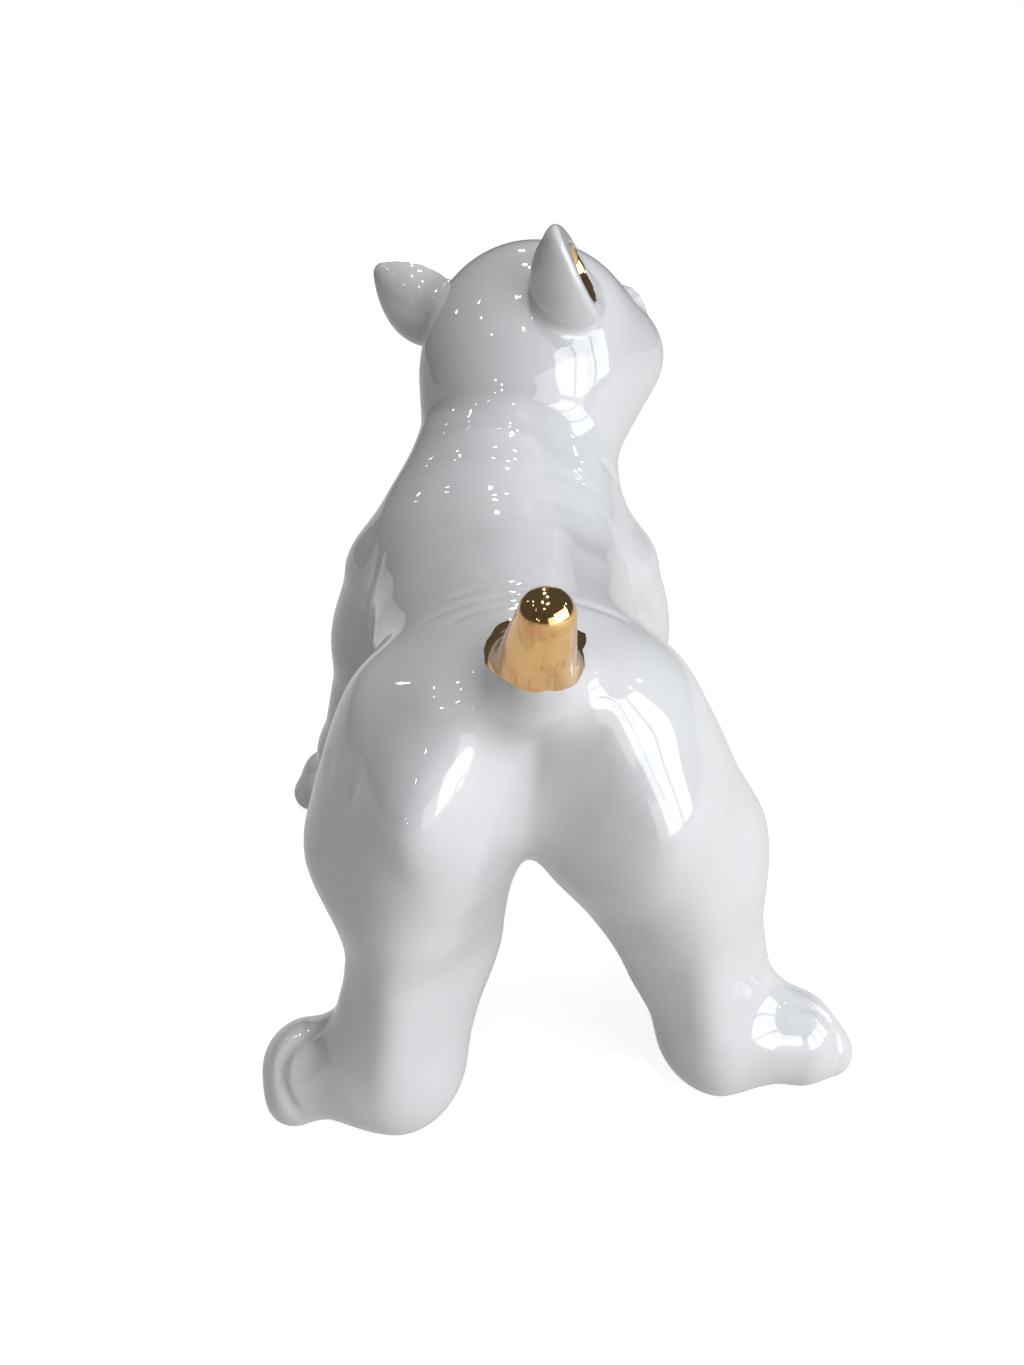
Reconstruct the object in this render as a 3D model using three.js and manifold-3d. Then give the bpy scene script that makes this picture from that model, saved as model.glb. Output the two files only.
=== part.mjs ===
// Ceramic puppy figurine: a white glazed puppy that stands with its hind feet apart and looks to its right,
// with gold lustre on the tail, the nose, the eyes and the inside of the ears.
// It is slip cast in separate hollow pieces, which are luted together along the seams made here.
// Millimetres, +Z up, +Y towards the front of the puppy, +X towards its right side, soles on Z = 0.
import * as THREE from "three";
import Module from "manifold-3d";

const wasm = await Module();
wasm.setup();

const at = (x, y, z) => new THREE.Vector3(x, y, z);

// Clay walls and seams
const seamGap = 0.3;
const seamSides = 36;
const clayWall = 5;
const solidLegHeight = 62;
const soleTrim = 1.5;
const ventRadius = 5;
const ventForward = 12;

// Trunk: three swellings in a row, blended into one another
const rumpForward = -31;
const rumpHeight = 128;
const rumpRadii = at(47, 38, 38);
const bellyForward = 19;
const bellyHeight = 128;
const bellyRadii = at(46, 56, 42);
const chestForward = 65;
const chestHeight = 136;
const chestRadii = at(49, 36, 45);

// Valley between the thighs, which starts under the tail and opens towards the back
const valleyStartFromRump = at(2, -25, 22);
const valleyEndFromRump = at(-4, -34, -32);
const valleySlant = 34;
const valleySoftness = 3;
const valleyReach = 75;

// Neck and head
const neckFromChest = at(3, -1, 13);
const neckTopFromBase = at(13, 33, 40);
const neckBaseRadius = 33.5;
const neckTopRadius = 38.5;
const headFromNeck = at(4, 3, 14);
const headTurn = -46;
const headLift = 11;
const headTilt = -11;
const skullRadii = at(40, 41, 41);
const cheekForward = 25;
const cheekDrop = 12;
const cheekRadii = at(32.5, 27.5, 22);
const muzzleForward = 36;
const muzzleDrop = 8;
const muzzleRadii = at(19, 17, 14);
const flewSpread = 9;
const flewForward = 42;
const flewDrop = 13;
const flewRadii = at(11.5, 10, 10.5);
const chinForward = 36;
const chinDrop = 24;
const chinRadii = at(10, 10, 8);
const eyeSpread = 17;
const eyeForward = 36;
const eyeRise = 3;
const eyeRadii = at(7.5, 7, 7);
const eyeSocketForward = 6;
const eyeSocketRadii = at(9.5, 5.5, 8.5);
const eyeBack = 34;
const browSpread = 12;
const browForward = 27;
const browRise = 12;
const browRadii = at(8, 6, 6);
const noseForward = 50;
const noseDrop = 2;
const noseRadii = at(9, 7, 6.5);
const noseBack = 47;

// Ears, placed and turned in the head's own frame. Each is open on one side, which is cut flat:
// the right one is turned further round, so that its open side shows from behind.
const earSpread = 35;
const earSetBack = 5.5;
const earRise = 22.5;
const earSplay = 25;
const earLean = 28;
const earRootCentre = at(0, -1, 6);
const earRootRadii = at(14.5, 14, 15);
const earLeafCentre = at(0, 1.5, 13.5);
const earLeafRadii = at(10.5, 9.5, 14);
const earTipThick = 6.5;
const earSeamOffSkull = 44;
const ears = {
  left: {
    side: -1,
    twist: 17,
    tipFrom: at(0, 2, 17),
    tip: at(0, 3.5, 26.5),
    tipRadius: 3.2,
    openFace: -1.4,
    openFaceLean: 0.12,
    hollowCentre: at(0, 4.5, 9.5),
    hollowRadii: at(8, 7, 13),
  },
  right: {
    side: 1,
    twist: 42,
    tipFrom: at(0, 1, 17),
    tip: at(0, -0.8, 25.3),
    tipRadius: 3.6,
    openFace: 4.6,
    openFaceLean: -0.16,
    hollowCentre: at(0, 5, 10.6),
    hollowRadii: at(8.2, 7.4, 8),
  },
};
const lustreThickness = 1;

// Hind legs: each joint is set from the one above it, and every height is above the floor.
// The hamstring runs from beside the tail over the haunch to the stifle, and the tendon on to the heel.
// The faces are the flat sides of the shank that lie between its ridges.
const hindLegs = {
  left: {
    side: -1,
    hipFromRump: at(-30, -2, -13),
    hipRadii: at(25, 31, 38),
    stifleFromHip: [-8, 1],
    stifleHeight: 89,
    stifleRadius: 30,
    hamstringStartFromRump: at(-18, -19, 14),
    hamstringMiddleFromRump: at(-26, -31, -8),
    hamstringEndFromStifle: at(1, -28, -5),
    tendonStartFromStifle: at(2, -28, 9),
    tendonEndFromHeel: at(5, -12, 11),
    hockFromStifle: [4, -17],
    hockHeight: 63,
    hockRadius: 22.5,
    faces: [{ fromHock: at(-6, -27, -3), outward: at(0.67, -0.74, 0) }],
    heelFromHock: [-14, -9],
    heelRadius: 22.5,
    ballFromHeel: [-29, 5],
    ballRadius: 15,
    toesHeading: 165,
    toesReach: 5.5,
    seamHeight: 82,
  },
  right: {
    side: 1,
    hipFromRump: at(28, -5, -15),
    hipRadii: at(25, 32, 39),
    stifleFromHip: [15, -1],
    stifleHeight: 81,
    stifleRadius: 30,
    hamstringStartFromRump: at(17, -19, 14),
    hamstringMiddleFromRump: at(27, -31, -17),
    hamstringEndFromStifle: at(-3, -24, -1),
    tendonStartFromStifle: at(-5, -23, 9),
    tendonEndFromHeel: at(-2.5, -10.5, 15),
    hockFromStifle: [6, -15],
    hockHeight: 55,
    hockRadius: 21,
    faces: [
      { fromHock: at(-2, -24, 7), outward: at(-0.52, -0.85, 0) },
      { fromHock: at(0, -24, 7), outward: at(0.66, -0.75, 0.08) },
    ],
    heelFromHock: [10.5, -5.5],
    heelRadius: 22.5,
    ballFromHeel: [22.5, -2.5],
    ballRadius: 14.5,
    toesHeading: 28,
    toesReach: 10.5,
    seamHeight: 78,
  },
};
const hamstringStartRadius = 15;
const hamstringMiddleRadius = 15.5;
const hamstringEndRadius = 12.5;
const tendonStartRadius = 11;
const tendonEndRadius = 10;
const hindToeRadius = 9;
const hindToeSpread = 7;

// Forelegs
const forelegs = {
  left: {
    side: -1,
    shoulderFromChest: at(-34, 4, -3),
    shoulderRadius: 23.5,
    elbowFromShoulder: [-8, 4],
    elbowHeight: 107,
    elbowRadius: 20.5,
    wristFromElbow: [-22, 17],
  },
  right: {
    side: 1,
    shoulderFromChest: at(39, 0, -5),
    shoulderRadius: 22,
    elbowFromShoulder: [4, 3],
    elbowHeight: 109,
    elbowRadius: 19.5,
    wristFromElbow: [21, 22],
  },
};
const wristHeight = 44;
const wristRadius = 15.5;
const pasternHeight = 16;
const pasternRadius = 14.5;
const pawOutward = 17;
const pawForward = 24;
const pawHeight = 15;
const pawRadius = 13.5;
const foreToeTurn = 42;
const foreToeRadius = 8.5;
const foreToeSpread = 8;
const foreToeReach = 7;

// Tail: a short upright stub on the rump
const tailBaseBehindRump = 26.2;
const tailBaseAboveRump = 27.7;
const tailBaseRadius = 12;
const tailTipFromBase = at(3.6, -14.8, 26.6);
const tailTipRadius = 7.2;
const tailSeamUp = 6.5;

// Facet sizes of the surfaces
const trunkFacet = 9.5;
const legFacet = 7.2;
const headFacet = 6;
const earFacet = 3.8;
const tailFacet = 4;
const hollowFacet = 12;
const shortestDetail = 0.15;

// Cutting blocks that are larger than the figurine
const roomWidth = 600;
const roomHeight = 300;

// Finishes
const whiteGlaze = new THREE.MeshStandardMaterial({ color: 0xe9ebee, roughness: 0.12, metalness: 0 });
const goldLustre = new THREE.MeshStandardMaterial({ color: 0xd9a655, roughness: 0.12, metalness: 1 });

// Places worked out from the sizes
const rump = at(0, rumpForward, rumpHeight);
const belly = at(0, bellyForward, bellyHeight);
const chest = at(0, chestForward, chestHeight);
const neckBase = chest.clone().add(neckFromChest);
const neckTop = neckBase.clone().add(neckTopFromBase);
const headCentre = neckTop.clone().add(headFromNeck);
const tailBase = at(0, rumpForward - tailBaseBehindRump, rumpHeight + tailBaseAboveRump);
const tailTip = tailBase.clone().add(tailTipFromBase);

const degrees = (x, y, z, order) => new THREE.Euler(...[x, y, z].map(THREE.MathUtils.degToRad), order);
const turned = (euler) => new THREE.Matrix4().makeRotationFromEuler(euler);
const headPose = turned(degrees(headLift, headTilt, headTurn, "ZXY")).setPosition(headCentre);
const earPose = ({ side, twist }) => turned(degrees(earLean, side * earSplay, -side * twist, "YXZ"))
  .setPosition(side * earSpread, -earSetBack, earRise);

// Fields: a function of a point that is negative inside a form and grows outwards in millimetres
const blend = (a, b, reach) => {
  const near = Math.max(reach - Math.abs(a - b), 0) / reach;
  return Math.min(a, b) - near * near * reach / 4;
};
const carve = (a, b, reach) => -blend(-a, b, reach);

function swelling(centre, radii, pose = null) {
  const toLocal = pose ? pose.clone().invert() : null;
  const q = at(0, 0, 0);
  return (p) => {
    q.copy(p).sub(centre);
    if (toLocal) q.applyMatrix4(toLocal);
    const k0 = Math.hypot(q.x / radii.x, q.y / radii.y, q.z / radii.z);
    const k1 = Math.hypot(q.x / radii.x ** 2, q.y / radii.y ** 2, q.z / radii.z ** 2);
    return k1 > 1e-9 ? k0 * (k0 - 1) / k1 : -Math.min(radii.x, radii.y, radii.z);
  };
}

function limb(from, to, fromRadius, toRadius) {
  const along = to.clone().sub(from);
  const lengthSquared = along.lengthSq();
  const q = at(0, 0, 0);
  return (p) => {
    q.copy(p).sub(from);
    const t = THREE.MathUtils.clamp(q.dot(along) / lengthSquared, 0, 1);
    return q.addScaledVector(along, -t).length() - (fromRadius + (toRadius - fromRadius) * t);
  };
}

// A chain of fields, each blended onto what comes before it: [field, reach of the blend]
const joined = (first, ...others) => (p) => (
  others.reduce((distance, [field, reach]) => blend(distance, field(p), reach), first(p))
);

// The same field seen in the frame of a pose
function posed(pose, field) {
  const toLocal = pose.clone().invert();
  const q = at(0, 0, 0);
  return (p) => field(q.copy(p).applyMatrix4(toLocal));
}

// The space in front of a flat face
function spaceBefore(point, outward) {
  const direction = outward.clone().normalize();
  const q = at(0, 0, 0);
  return (p) => -q.copy(p).sub(point).dot(direction);
}

// The space between two slanting faces that meet along a line and open towards the back,
// down to where it fades out at its reach
function valley(start, end, slantDegrees, softness, reach) {
  const slant = THREE.MathUtils.degToRad(slantDegrees);
  const middle = start.clone().lerp(end, 0.5);
  const along = end.clone().sub(start).normalize();
  const back = at(0, -1, 0).projectOnPlane(along).normalize();
  const across = along.clone().cross(back);
  const q = at(0, 0, 0);
  return (p) => {
    q.copy(p).sub(start);
    const aside = Math.hypot(q.dot(across), softness);
    const faces = aside * Math.sin(slant) - q.dot(back) * Math.cos(slant);
    return Math.max(faces, p.distanceTo(middle) - reach);
  };
}

// Both sides of the head from a field for its right side
const mirrored = (field) => {
  const q = at(0, 0, 0);
  return (p) => field(q.set(Math.abs(p.x), p.y, p.z));
};

// Trunk
const trunkField = joined(
  swelling(rump, rumpRadii),
  [swelling(belly, bellyRadii), 20],
  [swelling(chest, chestRadii), 25],
);

// Toes side by side across the end of a foot
function toeFields(ball, headingDegrees, radius, spread, reach) {
  const heading = THREE.MathUtils.degToRad(headingDegrees);
  const forward = at(Math.cos(heading), Math.sin(heading), 0);
  const across = at(-Math.sin(heading), Math.cos(heading), 0);
  return [-1, 0, 1].map((step) => {
    const root = at(ball.x, ball.y, radius + 1.5).addScaledVector(across, step * spread * 0.7);
    const tip = at(ball.x, ball.y, radius - 0.5).addScaledVector(across, step * spread);
    tip.addScaledVector(forward, reach - step * step * 1.6);
    return limb(root, tip, radius, radius);
  });
}

function footField(ball, headingDegrees, radius, spread, reach) {
  const [near, middle, far] = toeFields(ball, headingDegrees, radius, spread, reach);
  return joined(near, [middle, 3], [far, 3]);
}

// Hind legs
function hindLeg(leg) {
  const hip = rump.clone().add(leg.hipFromRump);
  const stifle = at(hip.x + leg.stifleFromHip[0], hip.y + leg.stifleFromHip[1], leg.stifleHeight);
  const hock = at(stifle.x + leg.hockFromStifle[0], stifle.y + leg.hockFromStifle[1], leg.hockHeight);
  const heel = at(hock.x + leg.heelFromHock[0], hock.y + leg.heelFromHock[1], leg.heelRadius + 0.5);
  const ball = at(heel.x + leg.ballFromHeel[0], heel.y + leg.ballFromHeel[1], leg.ballRadius + 0.5);
  const thighTop = hip.clone().lerp(stifle, 0.4).setZ(hip.z - 16);
  const hamstring = [
    rump.clone().add(leg.hamstringStartFromRump),
    rump.clone().add(leg.hamstringMiddleFromRump),
    stifle.clone().add(leg.hamstringEndFromStifle),
  ];
  const tendonStart = stifle.clone().add(leg.tendonStartFromStifle);
  const tendonEnd = heel.clone().add(leg.tendonEndFromHeel);
  const instep = at(heel.x, heel.y, leg.ballRadius + 2);
  const thigh = joined(
    swelling(hip, leg.hipRadii, turned(degrees(0, 14 * leg.side, 0))),
    [limb(hamstring[0], hamstring[1], hamstringStartRadius, hamstringMiddleRadius), 14],
    [limb(hamstring[1], hamstring[2], hamstringMiddleRadius, hamstringEndRadius), 14],
    [limb(thighTop, stifle, leg.stifleRadius + 1, leg.stifleRadius), 18],
  );
  const roundShank = joined(
    limb(stifle, hock, leg.stifleRadius - 2, leg.hockRadius),
    [limb(hock, heel, leg.hockRadius, leg.heelRadius), 10],
    [limb(tendonStart, tendonEnd, tendonStartRadius, tendonEndRadius), 10],
  );
  const spaces = leg.faces.map(({ fromHock, outward }) => spaceBefore(hock.clone().add(fromHock), outward));
  const shank = joined(
    (p) => spaces.reduce((distance, space) => carve(distance, space(p), 8), roundShank(p)),
    [limb(instep, ball, leg.ballRadius + 3, leg.ballRadius + 0.5), 10],
    [footField(ball, leg.toesHeading, hindToeRadius, hindToeSpread, leg.toesReach), 5],
  );
  const seamShare = (leg.stifleHeight - leg.seamHeight) / (leg.stifleHeight - leg.hockHeight);
  const seam = stifle.clone().lerp(hock, seamShare);
  const foot = heel.clone().lerp(ball, 0.5);
  return { thigh, shank, seam, foot, radius: leg.stifleRadius };
}

// Forelegs
function foreleg(leg) {
  const shoulder = chest.clone().add(leg.shoulderFromChest);
  const elbow = at(leg.elbowFromShoulder[0], leg.elbowFromShoulder[1], 0).add(shoulder).setZ(leg.elbowHeight);
  const wrist = at(elbow.x + leg.wristFromElbow[0], elbow.y + leg.wristFromElbow[1], wristHeight);
  const paw = at(wrist.x + leg.side * pawOutward, wrist.y + pawForward, pawHeight);
  const pastern = wrist.clone().lerp(paw, 0.25).setZ(pasternHeight);
  const field = joined(
    limb(shoulder, elbow, leg.shoulderRadius, leg.elbowRadius),
    [limb(elbow, wrist, leg.elbowRadius, wristRadius), 14],
    [limb(wrist, pastern, wristRadius, pasternRadius + 0.5), 8],
    [limb(pastern, paw, pasternRadius, pawRadius), 10],
    [footField(paw, 90 - foreToeTurn * leg.side, foreToeRadius, foreToeSpread, foreToeReach), 4],
  );
  return { field, seam: elbow, foot: paw, radius: leg.elbowRadius };
}

// Head, in its own frame: +Y is where it looks
const skullField = swelling(at(0, 0, 0), skullRadii);
const cheekField = swelling(at(0, cheekForward, -cheekDrop), cheekRadii);
const muzzleField = swelling(at(0, muzzleForward, -muzzleDrop), muzzleRadii);
const flewField = mirrored(swelling(at(flewSpread, flewForward, -flewDrop), flewRadii));
const chinField = swelling(at(0, chinForward, -chinDrop), chinRadii);
const browField = mirrored(swelling(at(browSpread, browForward, browRise), browRadii));
const faceField = joined(
  skullField,
  [cheekField, 14],
  [muzzleField, 8],
  [flewField, 4],
  [chinField, 5],
  [browField, 6],
);

// One ear, in its own frame: +Z is its length and +Y its open side
function earField(ear) {
  const leaf = joined(
    swelling(earRootCentre, earRootRadii),
    [swelling(earLeafCentre, earLeafRadii), 9],
    [limb(ear.tipFrom, ear.tip, earTipThick, ear.tipRadius), 6],
  );
  const openSide = (p) => ear.openFace + ear.openFaceLean * Math.max(p.z, 0) - p.y;
  return posed(headPose.clone().multiply(earPose(ear)), (p) => carve(leaf(p), openSide(p), 4));
}

// Tail and the valley under it
const tailField = limb(tailBase, tailTip, tailBaseRadius, tailTipRadius);
const valleyField = valley(
  rump.clone().add(valleyStartFromRump),
  rump.clone().add(valleyEndFromRump),
  valleySlant,
  valleySoftness,
  valleyReach,
);

// The whole body: the valley parts the thighs before the shanks are joined on
const hind = { left: hindLeg(hindLegs.left), right: hindLeg(hindLegs.right) };
const fore = { left: foreleg(forelegs.left), right: foreleg(forelegs.right) };
const haunchField = joined(trunkField, [hind.left.thigh, 8], [hind.right.thigh, 8]);
const castField = joined(
  (p) => carve(haunchField(p), valleyField(p), 8),
  [hind.left.shank, 12],
  [hind.right.shank, 12],
  [fore.left.field, 8],
  [fore.right.field, 8],
  [limb(neckBase, neckTop, neckBaseRadius, neckTopRadius), 20],
  [posed(headPose, faceField), 10],
);
const bodyField = joined(
  castField,
  [earField(ears.right), 4],
  [earField(ears.left), 4],
  [tailField, 12],
);

// A closed surface of a field inside a box: one vertex in each cell that the surface passes through,
// moved onto the surface, and one quad across each cell edge that it crosses
function surface(field, box, facet) {
  const size = box.getSize(at(0, 0, 0));
  const count = ["x", "y", "z"].map((axis) => Math.ceil(size[axis] / facet) + 1);
  const index = (i, j, k) => (i * count[1] + j) * count[2] + k;
  const place = (i, j, k, to) => to.set(i, j, k).multiplyScalar(facet).add(box.min);
  const values = new Float64Array(count[0] * count[1] * count[2]);
  const point = at(0, 0, 0);
  for (let i = 0; i < count[0]; i += 1) {
    for (let j = 0; j < count[1]; j += 1) {
      for (let k = 0; k < count[2]; k += 1) {
        const rim = [i, j, k].some((step, axis) => step === 0 || step === count[axis] - 1);
        const value = field(place(i, j, k, point));
        values[index(i, j, k)] = rim ? Math.max(value, facet / 4) : value;
      }
    }
  }
  const corners = [];
  for (let c = 0; c < 8; c += 1) corners.push([c & 1, (c >> 1) & 1, (c >> 2) & 1]);
  const edges = [];
  for (let a = 0; a < 8; a += 1) {
    for (const bit of [1, 2, 4]) {
      if (!(a & bit)) edges.push([a, a | bit]);
    }
  }
  const vertexOf = new Map();
  const positions = [];
  for (let i = 0; i < count[0] - 1; i += 1) {
    for (let j = 0; j < count[1] - 1; j += 1) {
      for (let k = 0; k < count[2] - 1; k += 1) {
        const value = corners.map(([a, b, c]) => values[index(i + a, j + b, k + c)]);
        const crossing = edges.filter(([a, b]) => (value[a] < 0) !== (value[b] < 0));
        if (crossing.length) {
          const mean = at(0, 0, 0);
          for (const [a, b] of crossing) {
            const t = value[a] / (value[a] - value[b]);
            mean.add(at(...corners[a]).lerp(at(...corners[b]), t));
          }
          mean.divideScalar(crossing.length).add(at(i, j, k)).multiplyScalar(facet).add(box.min);
          vertexOf.set(index(i, j, k), positions.length / 3);
          settle(field, mean, facet * 0.45);
          positions.push(mean.x, mean.y, mean.z);
        }
      }
    }
  }
  const triangles = [];
  const steps = [[1, 0, 0], [0, 1, 0], [0, 0, 1]];
  for (let i = 0; i < count[0] - 1; i += 1) {
    for (let j = 0; j < count[1] - 1; j += 1) {
      for (let k = 0; k < count[2] - 1; k += 1) {
        steps.forEach(([di, dj, dk], axis) => {
          const inside = values[index(i, j, k)] < 0;
          if (inside === values[index(i + di, j + dj, k + dk)] < 0) return;
          const [u, w] = [steps[(axis + 1) % 3], steps[(axis + 2) % 3]];
          const quad = [[1, 1], [0, 1], [0, 0], [1, 0]].map(([a, b]) => vertexOf.get(
            index(i - a * u[0] - b * w[0], j - a * u[1] - b * w[1], k - a * u[2] - b * w[2]),
          ));
          if (!inside) quad.reverse();
          triangles.push(quad[0], quad[1], quad[2], quad[0], quad[2], quad[3]);
        });
      }
    }
  }
  const geometry = new THREE.BufferGeometry();
  geometry.setAttribute("position", new THREE.Float32BufferAttribute(positions, 3));
  geometry.setIndex(triangles);
  return geometry;
}

// Moves a point onto the surface of a field, but no further than a limit
function settle(field, point, limit) {
  const start = point.clone();
  const step = 0.05;
  for (let round = 0; round < 2; round += 1) {
    const slope = at(0, 0, 0);
    for (const axis of ["x", "y", "z"]) {
      const probe = point.clone();
      probe[axis] += step;
      const ahead = field(probe);
      probe[axis] -= 2 * step;
      slope[axis] = (ahead - field(probe)) / (2 * step);
    }
    point.addScaledVector(slope, -field(point) / Math.max(slope.lengthSq(), 0.05));
  }
  const moved = point.clone().sub(start).clampLength(0, limit);
  point.copy(start).add(moved);
}

// Solids for cutting and joining
function toSolid(geometry) {
  const position = geometry.getAttribute("position");
  const merged = new Map();
  const vertProperties = [];
  const vertexOf = [];
  for (let i = 0; i < position.count; i += 1) {
    const xyz = [position.getX(i), position.getY(i), position.getZ(i)];
    const key = xyz.map((value) => Math.round(value * 1e4)).join(",");
    if (!merged.has(key)) {
      merged.set(key, merged.size);
      vertProperties.push(...xyz);
    }
    vertexOf.push(merged.get(key));
  }
  const corners = geometry.index ? Array.from(geometry.index.array) : vertexOf.map((_, i) => i);
  const triVerts = [];
  for (let i = 0; i < corners.length; i += 3) {
    const [a, b, c] = corners.slice(i, i + 3).map((corner) => vertexOf[corner]);
    if (a !== b && b !== c && c !== a) triVerts.push(a, b, c);
  }
  const mesh = new wasm.Mesh({
    numProp: 3,
    vertProperties: Float32Array.from(vertProperties),
    triVerts: Uint32Array.from(triVerts),
  });
  return new wasm.Manifold(mesh);
}

function toGeometry(solid) {
  const mesh = solid.getMesh();
  const geometry = new THREE.BufferGeometry();
  geometry.setAttribute("position", new THREE.Float32BufferAttribute(Array.from(mesh.vertProperties), 3));
  geometry.setIndex(Array.from(mesh.triVerts));
  geometry.computeVertexNormals();
  return geometry;
}

const ellipsoidSolid = (centre, radii, pose, grow = 0, facets = 14) => {
  const shape = new THREE.SphereGeometry(1, facets, Math.round(facets * 0.7));
  shape.scale(radii.x + grow, radii.y + grow, radii.z + grow);
  shape.translate(centre.x, centre.y, centre.z);
  return toSolid(shape.applyMatrix4(pose));
};

// A round block that stands on a seam and widens along a direction from its near face to its far one
function seamBlock(point, direction, nearRadius, farRadius, length, back = 0) {
  const shape = new THREE.CylinderGeometry(farRadius, nearRadius, length, seamSides).rotateX(Math.PI / 2);
  shape.translate(0, 0, length / 2 - back);
  const turn = new THREE.Quaternion().setFromUnitVectors(at(0, 0, 1), direction.clone().normalize());
  shape.applyQuaternion(turn);
  shape.translate(point.x, point.y, point.z);
  return toSolid(shape);
}

// Everything above a height
const above = (height) => toSolid(
  new THREE.BoxGeometry(roomWidth, roomWidth, roomHeight).translate(0, 0, roomHeight / 2 + height),
);

// The soles are rubbed flat before firing
const aboveSoles = above(soleTrim);
const boxAround = (points, margin) => new THREE.Box3().setFromPoints(points).expandByScalar(margin);

// The seams, each with a block that takes in all that lies beyond it
const legCutLength = 150;
const neckDirection = neckTop.clone().sub(neckBase);
const neckSeam = neckBase.clone().lerp(neckTop, 0.62);
const seams = {
  head: { point: neckSeam, direction: neckDirection, near: 92, far: 92, length: 160 },
  tail: {
    point: tailBase.clone().addScaledVector(tailTip.clone().sub(tailBase).normalize(), tailSeamUp),
    direction: tailTip.clone().sub(tailBase),
    near: tailBaseRadius + 8,
    far: tailBaseRadius + 8,
    length: 60,
  },
};
for (const side of ["left", "right"]) {
  const sign = side === "left" ? -1 : 1;
  const hindSide = hind[side];
  seams[`${side}_hind_leg`] = {
    point: hindSide.seam,
    direction: hindSide.foot.clone().sub(hindSide.seam),
    near: hindSide.radius * 1.3,
    far: 80,
    length: legCutLength,
  };
  seams[`${side}_foreleg`] = {
    point: fore[side].seam,
    direction: fore[side].foot.clone().sub(fore[side].seam),
    near: fore[side].radius * 1.5,
    far: 60,
    length: legCutLength,
  };
  const earRoot = at(sign * earSpread, -earSetBack, earRise).setLength(earSeamOffSkull);
  const skullCentre = at(0, 0, 0).applyMatrix4(headPose);
  const root = earRoot.clone().applyMatrix4(headPose);
  const outward = root.clone().sub(skullCentre);
  seams[`${side}_ear`] = { point: root, direction: outward, near: 26, far: 26, length: 60 };
}
const regionOf = (name) => {
  const { point, direction, near, far, length } = seams[name];
  return seamBlock(point, direction, near, far, length);
};
const cutFor = (name) => {
  const { point, direction, near, far, length } = seams[name];
  return seamBlock(point, direction, near + seamGap, far + seamGap, length + 2 * seamGap, seamGap);
};

// Boxes that each surface is worked out in
const headZone = new THREE.Box3().setFromCenterAndSize(headCentre, at(130, 130, 130)).union(
  boxAround([neckSeam], 50),
);
const tailZone = boxAround([tailBase, tailTip], tailBaseRadius + 10);
const trunkZone = boxAround([rump, belly, chest], 62).union(boxAround([neckTop], 46)).union(
  boxAround([hind.left.seam, hind.right.seam], Math.max(hind.left.radius, hind.right.radius) * 1.3),
);
const legZone = (leg) => boxAround([leg.seam, leg.foot.clone().setZ(10)], leg.radius * 1.65);

// Hollow inside of the casting
const hollowField = (p) => castField(p) + clayWall;
const hollowZone = trunkZone.clone().union(headZone);
const hollow = toSolid(surface(hollowField, hollowZone, hollowFacet)).intersect(above(solidLegHeight));

// Recesses for the eyes and the nose, each with a flat bottom
const facePieces = {
  nose: { centre: at(0, noseForward, -noseDrop), radii: noseRadii, back: noseBack },
  left_eye: { centre: at(-eyeSpread, eyeForward, eyeRise), radii: eyeRadii, back: eyeBack },
  right_eye: { centre: at(eyeSpread, eyeForward, eyeRise), radii: eyeRadii, back: eyeBack },
};
const faceDepth = 100;
const inFrontOf = (distance) => toSolid(
  new THREE.BoxGeometry(roomWidth, faceDepth, roomWidth)
    .translate(0, faceDepth / 2 + distance, 0)
    .applyMatrix4(headPose),
);
const faceInlay = ({ centre, radii, back }, grow) => (
  ellipsoidSolid(centre, radii, headPose, grow).intersect(inFrontOf(back - grow))
);

// The pieces
const figurine = new THREE.Group();
function addPiece(name, solid, material) {
  const mesh = new THREE.Mesh(toGeometry(solid.simplify(shortestDetail)), material);
  mesh.name = name;
  figurine.add(mesh);
}

const vent = toSolid(
  new THREE.CylinderGeometry(ventRadius, ventRadius, bellyHeight, 24)
    .rotateX(Math.PI / 2)
    .translate(0, ventForward, bellyHeight / 2),
);
let torso = toSolid(surface(bodyField, trunkZone, trunkFacet)).subtract(hollow).subtract(vent);
for (const name of ["head", "tail", "left_hind_leg", "right_hind_leg", "left_foreleg", "right_foreleg"]) {
  torso = torso.subtract(cutFor(name));
}
addPiece("torso", torso, whiteGlaze);

let head = toSolid(surface(bodyField, headZone, headFacet)).intersect(regionOf("head")).subtract(hollow);
for (const name of ["left_ear", "right_ear"]) head = head.subtract(cutFor(name));
for (const side of [-1, 1]) {
  const socketCentre = at(side * eyeSpread, eyeForward + eyeSocketForward, eyeRise);
  head = head.subtract(ellipsoidSolid(socketCentre, eyeSocketRadii, headPose));
}
for (const piece of Object.values(facePieces)) head = head.subtract(faceInlay(piece, seamGap));
addPiece("head", head, whiteGlaze);

for (const [side, ear] of Object.entries(ears)) {
  const pose = headPose.clone().multiply(earPose(ear));
  const root = at(0, 0, 0).applyMatrix4(pose);
  const earZone = boxAround([root, ear.tip.clone().applyMatrix4(pose)], earRootRadii.x + 8);
  const leaf = toSolid(surface(bodyField, earZone, earFacet)).intersect(regionOf(`${side}_ear`));
  const hollowOf = (grow) => ellipsoidSolid(ear.hollowCentre, ear.hollowRadii, pose, grow);
  const scoop = hollowOf(0);
  const bed = hollowOf(lustreThickness);
  addPiece(`${side}_ear`, leaf.subtract(hollowOf(lustreThickness + seamGap)), whiteGlaze);
  addPiece(`${side}_ear_lustre`, leaf.intersect(bed).subtract(scoop), goldLustre);
}

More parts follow.
